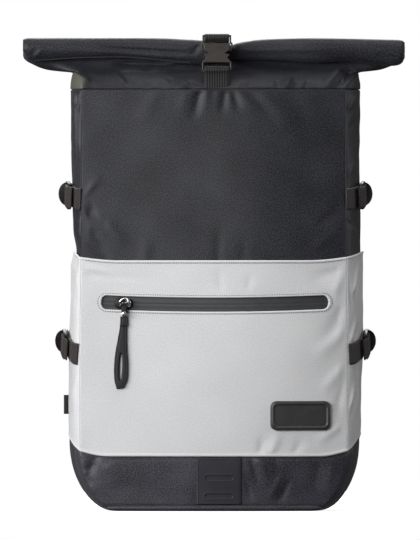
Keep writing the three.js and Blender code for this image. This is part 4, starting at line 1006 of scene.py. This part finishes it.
slider = {"x": -94.5, "z": 217.2, "half": 9.4, "tall": 6.3, "shieldLeft": 1.6, "thick": 2.9, "arch": 5.0,
          "wire": 1.25, "archUp": 1.6, "steps": 60, "bar": (-2.6, 2.8), "barThin": 0.75}
link = {"half": 3.3, "tall": 5.2, "thick": 1.4, "z": 208.6, "off": 4.4, "rivet": 3.0, "rivetZ": 206.0,
        "rivetThick": 1.6}
teeth = {"pitch": 1.6, "height": 0.14, "groove": 0.3}
pullerShape = {  # both edges of the puller by height
    "z": (127.9, 130, 136.1, 143.9, 155.4, 167, 178.5, 193.1, 195.4, 203.5),
    "left": (-102.7, -103.4, -105.1, -105.8, -105.5, -104.2, -102.1, -99.5, -99.3, -99.1),
    "right": (-95.3, -94.4, -91.9, -90.9, -90.9, -91.7, -92.1, -92, -91, -91.1),
}
puller = {"thick": 2.8, "slitX": -98.5, "slitLean": 0.035, "slitZ": 151, "slitTall": 14, "slitHalf": 1.4,
          "bandZ": 194.6, "bandHalf": 1.5, "rows": 150, "columns": 14, "slant": 1.4, "hollow": 0.4}
roundTop = [(0, 0), (0.8, 0), (1, 0.1), (1, 0.5), (0.97, 0.72), (0.9, 0.88), (0.8, 0.95), (0.5, 1.0),
            (0, 1.0)]  # shares of the outline and of the thickness


def buildZipTape():
    # Two tape edges meet over the coil: a low ridge each, a groove between, and a ripple from the coil
    s = zipStyle
    across, up = np.meshgrid(np.linspace(-1, 1, s["columns"]), np.linspace(-1, 1, s["rows"]))
    x, rise = s["x"] + across * (s["length"] / 2 + s["hidden"]), up * (s["height"] / 2 + s["hidden"])
    coil = teeth["height"] * np.sin(2 * np.pi * x / teeth["pitch"]) * bell(np.abs(rise) - 1.6, 1.1)
    ridge = 0.3 * bell(np.abs(rise) - 1.8, 1.7) - teeth["groove"] * bell(rise, 0.35)
    points = offFront(x, zipHeight(x) + rise, body["bandLift"] - body["gap"] - 0.5 + ridge + coil)
    makePiece("zip_tape_coated", [patch(points, uv=np.stack([x, rise], -1))], skins["coatedZipTape"],
              "zip_tape", "zip_tape", wall=s["thick"])


def domed(x, z, outline, thick, seat):
    # Rings that shrink to the middle of an outline on the bag's front, each at its own height over the seat
    share, high = (np.array(column)[:, None] for column in zip(*roundTop))
    across, up = share * outline[:, 0], share * outline[:, 1]
    return patch(offFront(x + across, z + up, seat + thick * high + 0 * across), closed=True)


def buildSlider():
    # A black shield, with a bright hoop of wire and a block on it
    s = slider
    seat = body["bandLift"]
    shield = domed(s["x"] - s["shieldLeft"], s["z"], oval(s["half"], s["tall"], 0.85), s["thick"], seat)
    makePiece("zip_slider_shield", [shield], skins["blackenedZinc"], "zip_metal", "zip_slider")
    turn = np.radians(np.linspace(205, -35, s["steps"]))
    x, z = s["x"] + s["arch"] * np.cos(turn), s["z"] + s["arch"] * np.sin(turn) * 0.92
    out = seat + s["thick"] + s["archUp"] * np.sin(np.linspace(0, np.pi, s["steps"])) ** 0.5
    swell = 1 + 0.5 * smooth(np.linspace(0, 1, s["steps"]), 0.55, 0.8)
    wire = disc(s["wire"], 14)
    hoop = tube(offFront(x, z, out), wire, (0, 1, 0), swell)
    cross = np.linspace(*s["bar"], 20)
    line = offFront(s["x"] + cross, 0 * cross + s["z"] + 0.3, 0 * cross + seat + s["thick"] + 1.0)
    block = tube(line, s["barThin"] * wire, (0, 0, 1))
    makePiece("zip_slider_hoop", [hoop, block], skins["nickelPlate"], "zip_metal")


def buildLink():
    # The black neck that hangs from the slider, and the bright rivet that holds the puller to it
    s = link
    top = bandOut + body["gap"] + s["off"]
    neck = domed(slider["x"], s["z"], oval(s["half"], s["tall"], 0.6), s["thick"], top - s["thick"])
    makePiece("zip_link_neck", [neck], skins["blackenedZinc"], "zip_metal", "zip_link")
    outline = oval(s["rivet"], s["rivet"] * 0.8)
    rivet = domed(slider["x"] - 0.2, s["rivetZ"], outline, s["rivetThick"], top + 0.1)
    makePiece("zip_link_rivet", [rivet], skins["nickelPlate"], "zip_metal")


def buildPuller():
    # A strap folded in two: two legs from the outer edges to the slit, which has no width past its ends
    s = puller
    low, high = pullerShape["z"][0], pullerShape["z"][-1]
    z = np.linspace(low, high, s["rows"])[:, None]
    middle = s["slitX"] + s["slitLean"] * (z - s["slitZ"])
    slit = s["slitHalf"] * np.sqrt(np.maximum(1 - ((z - s["slitZ"]) / s["slitTall"]) ** 2, 0))
    left, right = (curveThrough(pullerShape, "z", name, z) for name in ("left", "right"))
    band = smooth(s["bandHalf"] - np.abs(z - s["bandZ"]), -0.2, 0.5)
    patches = []
    for a, b in ((left, middle - slit), (middle + slit, right)):
        x = a + (b - a) * eased(s["columns"])
        edge = np.minimum(np.minimum(x - left, right - x), np.minimum(z - low, high - z))
        inner = np.where(slit > 0.05, np.abs(x - middle) - slit, 5.0)
        out = (bandOut + body["gap"] + s["thick"] + 0.9 * band - turnedEdge(np.minimum(edge, inner), 1.3, 1.3)
               - 0.3 * bell(edge - 1.9, 0.5))
        tilted = z + s["slant"] * (x - middle) / 8 * (1 - smooth(z, low, low + 12))
        patches.append(patch(offFront(x, tilted, out), uv=np.stack([x, z + 0 * x], -1)))
    makePiece("zip_puller_strap", patches, skins["pullerLeather"], "puller_strap", "zip_puller",
              wall=s["thick"] - s["hollow"])


buildZipTape()
buildSlider()
buildLink()
buildPuller()
print("zip done")


# Badge: a moulded rubber plate with a raised border and a bare face

badge = {
    "x": 88, "z": 100.1, "width": 62, "height": 30.5, "corner": 6.5, "thick": 2, "lift": 0.8, "steps": 240,
    "inset": (0, 0.0, 0.1, 0.4, 0.9, 1.4, 1.9, 2.4, 2.8, 3.1, 3.5, 4.0, 4.6, 5.2),  # mm in from the edge
    "high": (0, 1.3, 1.8, 2.1, 2.2, 2.3, 2.6, 2.9, 3.0, 2.9, 2.5, 1.9, 1.7, 1.75),  # on a plate 2 mm thick
    "shrink": (0.8, 0.5, 0.2, 0.0),
}


def buildBadge():
    # Rounded rectangles, each moved in from the last as the border rises and falls, then shrunk to the middle
    s = badge
    inset, high, shrink = (np.array(s[name])[:, None] for name in ("inset", "high", "shrink"))
    corner = s["corner"] - 0.6 * inset
    rings = []
    for ring, size in zip(oval(1, 1, count=s["steps"]).T, (s["width"], s["height"])):
        line = np.sign(ring) * (size / 2 - inset - corner) + corner * ring
        rings.append(np.concatenate([0 * line[:1], line, shrink * line[-1:]]))
    x, z = rings
    high = np.concatenate([high[:1], high, 0 * shrink + high[-1]]) * s["thick"] / 2
    points = offFront(s["x"] + x, s["z"] + z, bandOut + s["lift"] + high + 0 * x)
    makePiece("rubber_badge", [patch(points, closed=True)], skins["mouldedRubber"], "rubber", "badge")


buildBadge()
print("badge done")


# Webbing and buckles

closure = {
    "x": 1.2, "width": 26.2, "web": 1.4, "ribs": 10, "sideSteps": 58, "steps": {"low": 120, "high": 220},
    "low": [(-56.4, 442), (-57.2, 452), (-58.4, 458), (-59.6, 460.8), (-58.4, 463.6), (-54.5, 464.4),
            (-50.8, 463.4), (-50, 460), (-52, 455), (-54, 450)],  # y and z round the plug's bar
    "high": [(61.6, 442.2), (52, 449), (36, 455.4), (18, 461.2), (0, 467.4), (-12, 475), (-18.6, 484),
             (-23.6, 491.6), (-33, 496), (-44, 497), (-51, 498.1), (-55.5, 498.2), (-58.6, 496.5),
             (-58.4, 493.6), (-56.2, 491.3), (-52.4, 491.5), (-50, 494)],  # from the back seam to the socket
}
lock = {"length": 25, "thick": 3.4, "bevel": 0.7}
fixedWrap = [(-3, -1.5), (3.6, -1.4), (6, 0.4), (6, 3), (3.6, 4.6), (-0.5, 4.6), (-5, 2.6), (-10, 1)]
looseWrap = [(8.2, 2.2), (8.8, 4.3), (11.2, 5), (13.8, 4.4), (15, 1.4), (16.6, -1.1), (20, -1.6), (27, -1.7)]
sideStrap = {  # the two turns are where a strap comes round to its lock, in points of its path
    "width": 22.6, "clear": 0.9, "level": 4, "climb": 50, "start": 0.4, "end": 114, "off": 3.8, "ribs": 17,
    "frontSteps": 110, "frontTurn": (0.6, 3), "rearSteps": 150, "rearTurn": (7.2, 9), "sewn": 0.86,
}
# height at the front seam, the strap's slope, how far back its lock sits, the lock's slope, what it lies on
sideRows = {"upper": (325.5, 0.13, 24, 0.14, 0.0), "lower": (163, 0.27, 28.5, 0.3, bandOut + body["gap"])}


def webProfile(width, thick, ribs, steps):
    # Webbing in section: two long sides with a cosine rib for each cord, joined by round edges
    s = np.linspace(-1, 1, steps)
    rib = 0.08 * np.cos(np.pi * ribs * s)
    top = np.stack([s * width / 2, (thick / 2 + rib) * (1 - np.abs(s) ** 12) ** 0.5], -1)
    return np.concatenate([top, top[::-1][1:-1] * (1, -1)])


def buildWeb(name, node, path, width, wide, ribs, steps=14, cloth=sideWebbing):
    # The section carried along the path, with its width and its length as the cloth's own coordinates
    profile = webProfile(width, closure["web"], ribs, steps)
    points = capped(carried(path, profile, wide))
    flat = np.concatenate([profile[:, 0], profile[:1, 0]]) + width
    v = np.r_[0, np.linalg.norm(np.diff(points.mean(1), axis=0), axis=1).cumsum()]
    tape = patch(points, closed=True, uv=np.stack(np.meshgrid(flat, v), -1))
    makePiece(name, [tape], cloth, "webbing", node)


def buildClosure():
    s = closure
    for end, steps in s["steps"].items():
        path = smoothPath([(s["x"], y, z) for y, z in s[end]], steps)
        buildWeb("closure_web_" + end, "closure_strap_" + end, path, s["width"], (1, 0, 0), s["ribs"],
                 s["sideSteps"], webbing)


def mergeFaces(work):  # flat faces are joined, so that only real edges are rounded
    bmesh.ops.dissolve_limit(work, angle_limit=math.radians(3), verts=work.verts, edges=work.edges)


def moulded(name, node):  # the CAD shape with its edges rounded as a mould leaves them
    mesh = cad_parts[node].data.copy()
    rework(mesh, mergePoints, mergeFaces)
    mesh.shade_smooth()
    piece = addObject(name, mesh)
    edge = piece.modifiers.new("edge", "BEVEL")
    edge.width = lock["bevel"] * mm
    edge.segments = 3
    edge.limit_method = "ANGLE"
    edge.angle_limit = math.radians(28)
    edge.harden_normals = True
    finishPiece(piece, skins["blackAcetal"], "buckle_plastic", node)


buckle = {"x": 1.3, "front": -58.5, "deep": 5.0, "join": 478.1, "edge": 0.9, "post": 14.2, "postHigh": 497.6,
          "foot": 14.6, "footLow": 461.0, "bar": 460.6, "armY": -55.0, "rows": 90, "columns": 44}
buckleShape = {  # half width of the closed buckle by height: flare, waist, two hooks and the straight shell
    "z": (468.9, 470.1, 471.5, 472.7, 474, 475.1, 476.6, 477.7, 478.2, 478.7,
          479.7, 480.7, 481.5, 483, 487.2, 489.3),
    "half": (15.2, 15, 13.8, 12.4, 11.5, 11.8, 13.2, 13.6, 10, 8.8, 9.6, 11.2, 12.7, 13.5, 13.8, 13.8),
}
buckleArm = [(14.0, 480.9), (15.6, 484.6), (15.9, 487.6), (15.0, 490.2)]  # x and z of the right squeeze arm


def bar(path, wide, thick, across=(1, 0, 0)):  # a straight or bent bar with a rounded section
    return tube(smoothPath(path, 24), oval(wide, thick, 0.5, 24), across)


def buildBuckle():
    # Each shell is a stack of flat rings, wide as the table says, with rounded front edges
    s = buckle
    low, high = buckleShape["z"][0], buckleShape["z"][-1]
    shells = {}
    for node, a, b in (("buckle_plug", low, s["join"]), ("buckle_socket", s["join"], high)):
        z = np.linspace(a, b, s["rows"])[:, None]
        half = np.interp(z, buckleShape["z"], buckleShape["half"])
        across = 2 * eased(s["columns"])[None] - 1
        edge = np.minimum(half * (1 - np.abs(across)), np.minimum(z - low, high - z))
        front = stack(s["x"] + half * across, s["front"] + turnedEdge(edge, s["edge"], s["edge"]), z)
        back = stack(s["x"] + half * across[:, ::-4], s["front"] + s["deep"] + 0 * edge[:, ::-4], z)
        shells[node] = [patch(capped(np.concatenate([front, back], 1)), closed=True)]
    middle = s["front"] + s["deep"] / 2
    for side in (-1, 1):
        post, foot = s["x"] + side * s["post"], s["x"] + side * s["foot"]
        arm = [(s["x"] + side * x, s["armY"], z) for x, z in buckleArm]
        upper = bar([(post, middle, high - 1), (post, middle, s["postHigh"])], 0.9, 1.8)
        lower = bar([(foot, middle, low + 1), (foot, middle, s["footLow"])], 0.9, 2.2)
        shells["buckle_socket"].append(upper)
        shells["buckle_plug"] += [lower, bar(arm, 0.8, 1.6)]
    ends = (("buckle_socket", s["post"], s["postHigh"] - 0.9), ("buckle_plug", s["foot"], s["bar"]))
    for node, reach, z in ends:
        line = [(s["x"] - reach, middle, z), (s["x"] + reach, middle, z)]
        shells[node].append(bar(line, 1.2, 1.0, (0, 0, 1)))
        makePiece(node + "_shell", shells[node], skins["litAcetalPlastic"], "buckle_plastic", node)


def gussetFrame(distance, z, side=0):
    # A place on a gusset by its way from the front seam, and its outward direction, both as on the right:
    # side 0 is the mean of both gussets
    def point(t):
        right, left = gussetPoint(1, t, z), gussetPoint(-1, t, z) * (-1, 1, 1)
        return ((1 + side) * right + (1 - side) * left) / 2

    t = np.linspace(0, 1, 241)
    gone = np.r_[0, np.linalg.norm(np.diff(point(t), axis=0), axis=1).cumsum()]
    at = np.interp(distance, gone, t)
    return point(at), unit(np.cross(point(at + 0.01) - point(at - 0.01), (0, 0, 1)))


def nodePoints(name):  # a solid's points in mm
    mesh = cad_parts[name].data
    points = np.empty(len(mesh.vertices) * 3)
    mesh.vertices.foreach_get("co", points)
    return points.reshape(-1, 3) / mm


def wrapped(rows, place, along, out):  # points beside a lock: along it, and off its underside
    return [place + along * a + out * c for a, c in rows]


def buildPair(name, node, paths, width, wide, ribs):
    for side, flip, path in (("right", (1, 1, 1), paths[0]), ("left", (-1, 1, 1), paths[-1])):
        order = flip[0]  # a mirrored path is walked backwards, so that its faces still point out
        ways = np.broadcast_to(wide, path.shape) * flip
        buildWeb(f"{name}_{side}", f"{node}_{side}", (path * flip)[::order], width, ways[::order], ribs)


def buildSideStraps():
    s = sideStrap
    upright = np.array([0.0, 0.0, 1.0])
    for level, (height, slope, back, tilt, lies) in sideRows.items():
        def lying(run, side):  # level out of the seam, climbing as it goes back, then level again
            point, out = gussetFrame(run, height + slope * np.clip(run, s["level"], s["climb"]), side)
            sewn = s["sewn"] + (1 - s["sewn"]) * smooth(run, 0, 10)  # it comes out of the seam
            return point + out * (lies + s["clear"] + closure["web"] / 2) * sewn

        z = height + slope * back
        point, out = gussetFrame(back, z)
        forward = gussetFrame(back + lock["length"], z)[0] - point
        along = unit(forward + upright * tilt * np.linalg.norm(forward))
        out = unit(out - along * (out @ along))
        up = np.cross(out, along)
        place = point + out * (lies + s["off"])
        off = nodePoints(f"ladder_lock_{level}_right") - place
        rise = ((off @ up).min() + (off @ up).max()) / 2
        place = place + along * (off @ along).min() + up * rise  # the front edge of the lock, half way up
        first = back + lock["length"] + s["climb"] / 2
        fixed, loose = [], []
        for side in (1, -1):
            ahead = [lying(share * back if share else s["start"], side) for share in (0, 0.25, 0.5, 0.75)]
            behind = [lying(first + share * (s["end"] - first), side) for share in (0, 0.25, 0.5, 0.75, 1)]
            fixed.append(smoothPath(ahead + wrapped(fixedWrap, place, along, out), s["frontSteps"]))
            loose.append(smoothPath(wrapped(looseWrap, place, along, out) + behind, s["rearSteps"]))
        for end, paths, ways, turn in (("front", fixed, (upright, up), s["frontTurn"]),
                                       ("rear", loose, (up, upright), s["rearTurn"])):
            points = 12 if end == "front" else 13
            steps = np.linspace(0, points - 1, s[end + "Steps"])
            wide = ways[0] + (ways[1] - ways[0]) * smooth(steps, *turn)[:, None]  # upright on the cloth
            names = [f"side_{kind}_{level}_{end}" for kind in ("web", "strap")]
            buildPair(*names, paths, s["width"], wide, s["ribs"])
        for side in ("right", "left"):
            moulded(f"side_lock_{level}_{side}", f"ladder_lock_{level}_{side}")


buildClosure()
buildBuckle()
buildSideStraps()
print("webbing and buckles done")


# The carrying side: back panel, pad, shoulder straps and haul handle

backPanel = {"columns": 92, "rows": 92, "inset": 0.0034, "width": 284, "under": 0.1}
backPad = {"edge": 3, "thick": 10, "low": 96, "high": 400, "inset": 0.03, "voxel": 5.0, "pressure": 3.0,
           "cap": 6.0, "clear": 1.1, "columns": 60, "rows": 80, "seat": 0.6, "room": 3.0}
shoulder = {
    "width": 62, "thick": 11, "voxel": 4.5, "pressure": 4.0, "cap": 5.0, "shrink": 0.8, "room": 1.0,
    "rows": [(68, 69.1, 408), (68, 71, 424), (68, 79, 436), (69, 91, 438), (71, 104, 428), (75, 113, 400),
             (82, 118, 350), (90, 118, 290), (99, 113, 236), (108, 105, 192)],  # x, y, z down the right strap
    "tab": 7, "foot": (136, 68.5, 80), "footWidth": 22.6, "ribs": 18,
}
handle = {"width": 14, "thick": 5,
          "rows": [(-30, 70, 424), (-30, 70, 444), (-27, 70, 460), (-15, 70, 471), (0, 70, 473),
                   (15, 70, 471), (27, 70, 460), (30, 70, 444), (30, 70, 424)]}


def applyModifiers(piece):  # bakes the modifiers into the piece's own mesh
    graph = bpy.context.evaluated_depsgraph_get()
    made = bpy.data.meshes.new_from_object(piece.evaluated_get(graph))
    piece.modifiers.clear()
    piece.data = made


def getPoints(mesh):  # a mesh's points in mm
    points = np.empty(len(mesh.vertices) * 3, np.float32)
    mesh.vertices.foreach_get("co", points)
    return points.reshape(-1, 3) / mm


def refine(piece):
    piece.data.shade_smooth()
    fine = piece.modifiers.new("fine", "SUBSURF")
    fine.levels = fine.render_levels = 1


def puffUp(piece, style):
    # Fills a closed pad as foam does: even cells, a short cloth run under inner pressure, a cap on the swell
    remesh = piece.modifiers.new("cells", "REMESH")
    remesh.mode = "VOXEL"
    remesh.voxel_size = style["voxel"] * mm
    applyModifiers(piece)
    before = getPoints(piece.data)
    cloth = piece.modifiers.new("swell", "CLOTH")
    cloth.settings.use_pressure = True
    cloth.settings.uniform_pressure_force = style["pressure"]
    cloth.settings.effector_weights.gravity = 0.0
    scene = bpy.context.scene
    for step in range(1, 21):
        scene.frame_set(step)
    applyModifiers(piece)
    scene.frame_set(1)
    move = getPoints(piece.data) - before
    far = np.linalg.norm(move, axis=1, keepdims=True)
    move *= np.minimum(1, style["cap"] / np.maximum(far, 1e-6))
    piece.data.vertices.foreach_set("co", (before + move).ravel() * mm)
    refine(piece)


def restOnBack(piece, clear):  # no point of a pad sinks into the back cloth
    points = getPoints(piece.data)
    least = backPoint(points[:, 0], points[:, 2])[:, 1] + clear
    points[:, 1] = np.maximum(points[:, 1], least)
    piece.data.vertices.foreach_set("co", points.ravel() * mm)


def acrossBack(inset, share):  # places on the loop from one back seam to the other
    first, last = 0.5 + frontLeft + inset, 1 - frontLeft - inset
    return first + (last - first) * share


def buildBackPanel():
    s = backPanel
    side, up = np.meshgrid(eased(s["columns"]), eased(s["rows"]))
    share = acrossBack(s["inset"], side)
    low = baseJoin(share) + body["tuck"] / 2 + body["gap"]
    z = low + (body["seamTop"] - low) * up
    ends = np.minimum(side, 1 - side) * s["width"]
    loose = slack(side * s["width"], z, 120, 0.4) * smooth(ends, 0, 10)
    out = loose - turnedEdge(ends, 3.0, 1.4) - s["under"]
    makePiece("back_cloth", [patch(pushed(loopPoint(share, z), out))], blackCloth, "black_cloth",
              "back_panel", wall=body["cloth"])


def buildBackPad():
    # A crowned pad: its height follows the root of how far a point is from the pad's edges
    s = backPad
    u, v = np.meshgrid(np.linspace(0, 1, s["columns"]), np.linspace(0, 1, s["rows"]))
    face = loopPoint(acrossBack(s["inset"], u), s["low"] + (s["high"] - s["low"]) * v)
    crown = np.sqrt(np.minimum(1, 8 * u * (1 - u)) * np.minimum(1, 8 * v * (1 - v)))
    seat = body["gap"] + s["seat"]
    top = pushed(face, seat + s["seat"] + s["edge"] + (s["thick"] - s["edge"] - s["room"]) * crown)
    under = pushed(face, np.full(u.shape, seat))
    rim = [(under[0], top[0]), (top[-1], under[-1]), (top[:, 0], under[:, 0]), (under[:, -1], top[:, -1])]
    sides = [patch(np.stack(lines)) for lines in rim]
    piece = makeObject("back_pad_foam", [patch(top), patch(under[:, ::-1])] + sides)
    puffUp(piece, s)
    restOnBack(piece, s["clear"])
    finishPiece(piece, backMesh, "back_mesh", "back_pad")


def mirror(work):  # the other side's shape, with its faces still pointing out
    bmesh.ops.scale(work, vec=(-1, 1, 1), verts=work.verts)
    bmesh.ops.reverse_faces(work, faces=work.faces)


def buildShoulders():
    # A padded strap with a squarish section, and below it a lock between two lengths of webbing
    s = shoulder
    last, end = smoothPath(s["rows"], 17)[-2:]
    along = unit(end - last)
    out = unit(np.array([0, 1, 0]) - along * along[1])
    side = np.cross(out, along)
    place = end + along * s["tab"] - out * lock["thick"] / 2
    sewn = end + along * body["gap"] - out * lock["thick"]
    tab = smoothPath([sewn] + wrapped(fixedWrap, place, along, out)[:-2], 60)
    web = smoothPath(wrapped(looseWrap, place, along, out) + [np.array(s["foot"], float)], 120)
    buildPair("shoulder_tab_web", "shoulder_tab", [tab], s["footWidth"], side, s["ribs"])
    buildPair("shoulder_foot_web", "shoulder_web", [web], s["footWidth"], side, s["ribs"])
    wide, thick = s["width"] / 2 - s["shrink"], s["thick"] / 2 - s["shrink"] - s["room"]
    pad = tube(smoothPath(s["rows"], 90), oval(wide, thick, 0.35, 40, 0.5), (1, 0, 0))
    right = makeObject("shoulder_pad_right", [pad])
    puffUp(right, s)
    left = addObject("shoulder_pad_left", right.data.copy())
    rework(left.data, mirror)
    refine(left)
    for piece, name in ((right, "right"), (left, "left")):
        moulded("shoulder_buckle_" + name, "shoulder_lock_" + name)
        finishPiece(piece, backMesh, "back_mesh", "shoulder_strap_" + name)


def buildHandle():
    s = handle
    profile = oval(s["width"] / 2, s["thick"] / 2, 0.5, 28, 0.6)
    loop = tube(smoothPath(s["rows"], 120), profile, (0, 1, 0))
    makePiece("haul_loop", [loop], webbing, "webbing", "haul_handle")


buildBackPanel()
buildBackPad()
buildShoulders()
buildHandle()
print("carrying side done")


# Stitches

stitch = {"pitch": 2.5, "length": 1.5, "radius": 0.42, "rings": 5, "sides": 6, "proud": 0.45}


def stitchPatches(points, normals):
    # Short capsules along a line: each dips into the cloth at both ends
    s = stitch
    gone = np.r_[0, np.linalg.norm(np.diff(points, axis=0), axis=1).cumsum()]
    at = np.arange(s["pitch"] / 2, gone[-1], s["pitch"])
    share = np.linspace(-0.5, 0.5, s["rings"])
    where = at[:, None] + share * s["length"]
    place, out = (np.stack([np.interp(where, gone, column) for column in table.T], -1)
                  for table in (points, normals))
    side = np.cross(out, unit(np.gradient(place, axis=1)))
    thin = s["radius"] * np.sqrt(np.maximum(1 - (1.9 * share) ** 2, 0.02))
    across, up = disc(1.0, s["sides"]).T[:, :, None]
    ring = side[:, :, None] * across + out[:, :, None] * up
    lift = out * (0.1 - share ** 2)[:, None]
    grid = (place + lift)[:, :, None] + ring * thin[:, None, None]
    return [patch(capped(one), closed=True) for one in grid]


def stitchLine(x, z, out):  # stitches along a line on the front
    return stitchPatches(offFront(x, z, out), bodyNormal(shareOfX(x, z), z))


def buildStitches():
    # One row under the pale band's hem, one round the zip's window, and three along the lamp patch's edges
    proud = bandOut + stitch["proud"]
    x = body["skew"] + np.linspace(-134, 134, 400)
    rows = stitchLine(x, bandJoin(shareOfX(x, 262.0)) - pocket["hem"], proud)
    straight = (zipStyle["length"] - zipStyle["height"]) / 2 + 1.0
    radius = zipStyle["height"] / 2 + zipStyle["hem"]
    run, bow = np.linspace(-straight, straight, 300), np.linspace(-np.pi / 2, np.pi / 2, 40)
    end = straight + radius * np.cos(bow)
    x = zipStyle["x"] + np.concatenate([run, end, run[::-1], -end])
    off = radius * np.concatenate([0 * run - 1, np.sin(bow), 0 * run + 1, -np.sin(bow)])
    rows += stitchLine(x, zipHeight(x) + off, proud)
    makePiece("pocket_stitches", rows, skins["greyThread"], "pale_cloth")
    s = lampPatch
    half, top = s["width"] / 2 - s["hem"], s["high"] - s["hem"]
    up, run = np.linspace(s["low"] + 1, top, 80), np.linspace(-half, half, 80)
    rows = []
    for x, z in ((0 * up - half, up), (0 * up + half, up), (run, 0 * run + top)):
        rows += stitchLine((s["x"] + x) / narrowing(z), z, body["gap"] + s["thick"] - 0.1 + bootSwell(z))
    makePiece("lamp_patch_stitches", rows, skins["blackThread"], "black_cloth")


buildStitches()
print("stitches done")


# Floor

floorLook = {"dark": "f4f4f4", "light": "ffffff", "glow": 0.82, "reach": 1200, "drop": 0.3,
             "rings": (0.0, 0.1, 0.4, 1.0)}


def buildFloor():
    # Painted board, matt and nearly white, with faint unevenness and a glow of its own that hides the horizon
    s = floorLook
    material, tree, shader = newMaterial("paleFloor")
    place = addNode(tree, "TexCoord").outputs["Object"]
    dust = addNode(tree, "TexNoise", {"Vector": place, "Scale": 6.0, "Detail": 2.0})
    tone = addNode(tree, "Mix", {0: dust.outputs["Fac"], 6: hexLinear(s["dark"]), 7: hexLinear(s["light"])},
                   data_type="RGBA")
    feed(tree, shader, {"Base Color": tone.outputs[2], "Roughness": 0.9, "Emission Color": (1, 1, 1, 1),
                        "Emission Strength": s["glow"]})
    rings = np.array(s["rings"])[:, None] * s["reach"]
    x, y = disc(1.0, 96).T
    floor = makeObject("floor", [patch(stack(rings * x, rings * y, -s["drop"]), closed=True)])
    floor.data.flip_normals()
    floor.data.materials.append(material)
    floor.visible_diffuse = floor.visible_glossy = False  # a white ground for the eye that throws no light up


buildFloor()
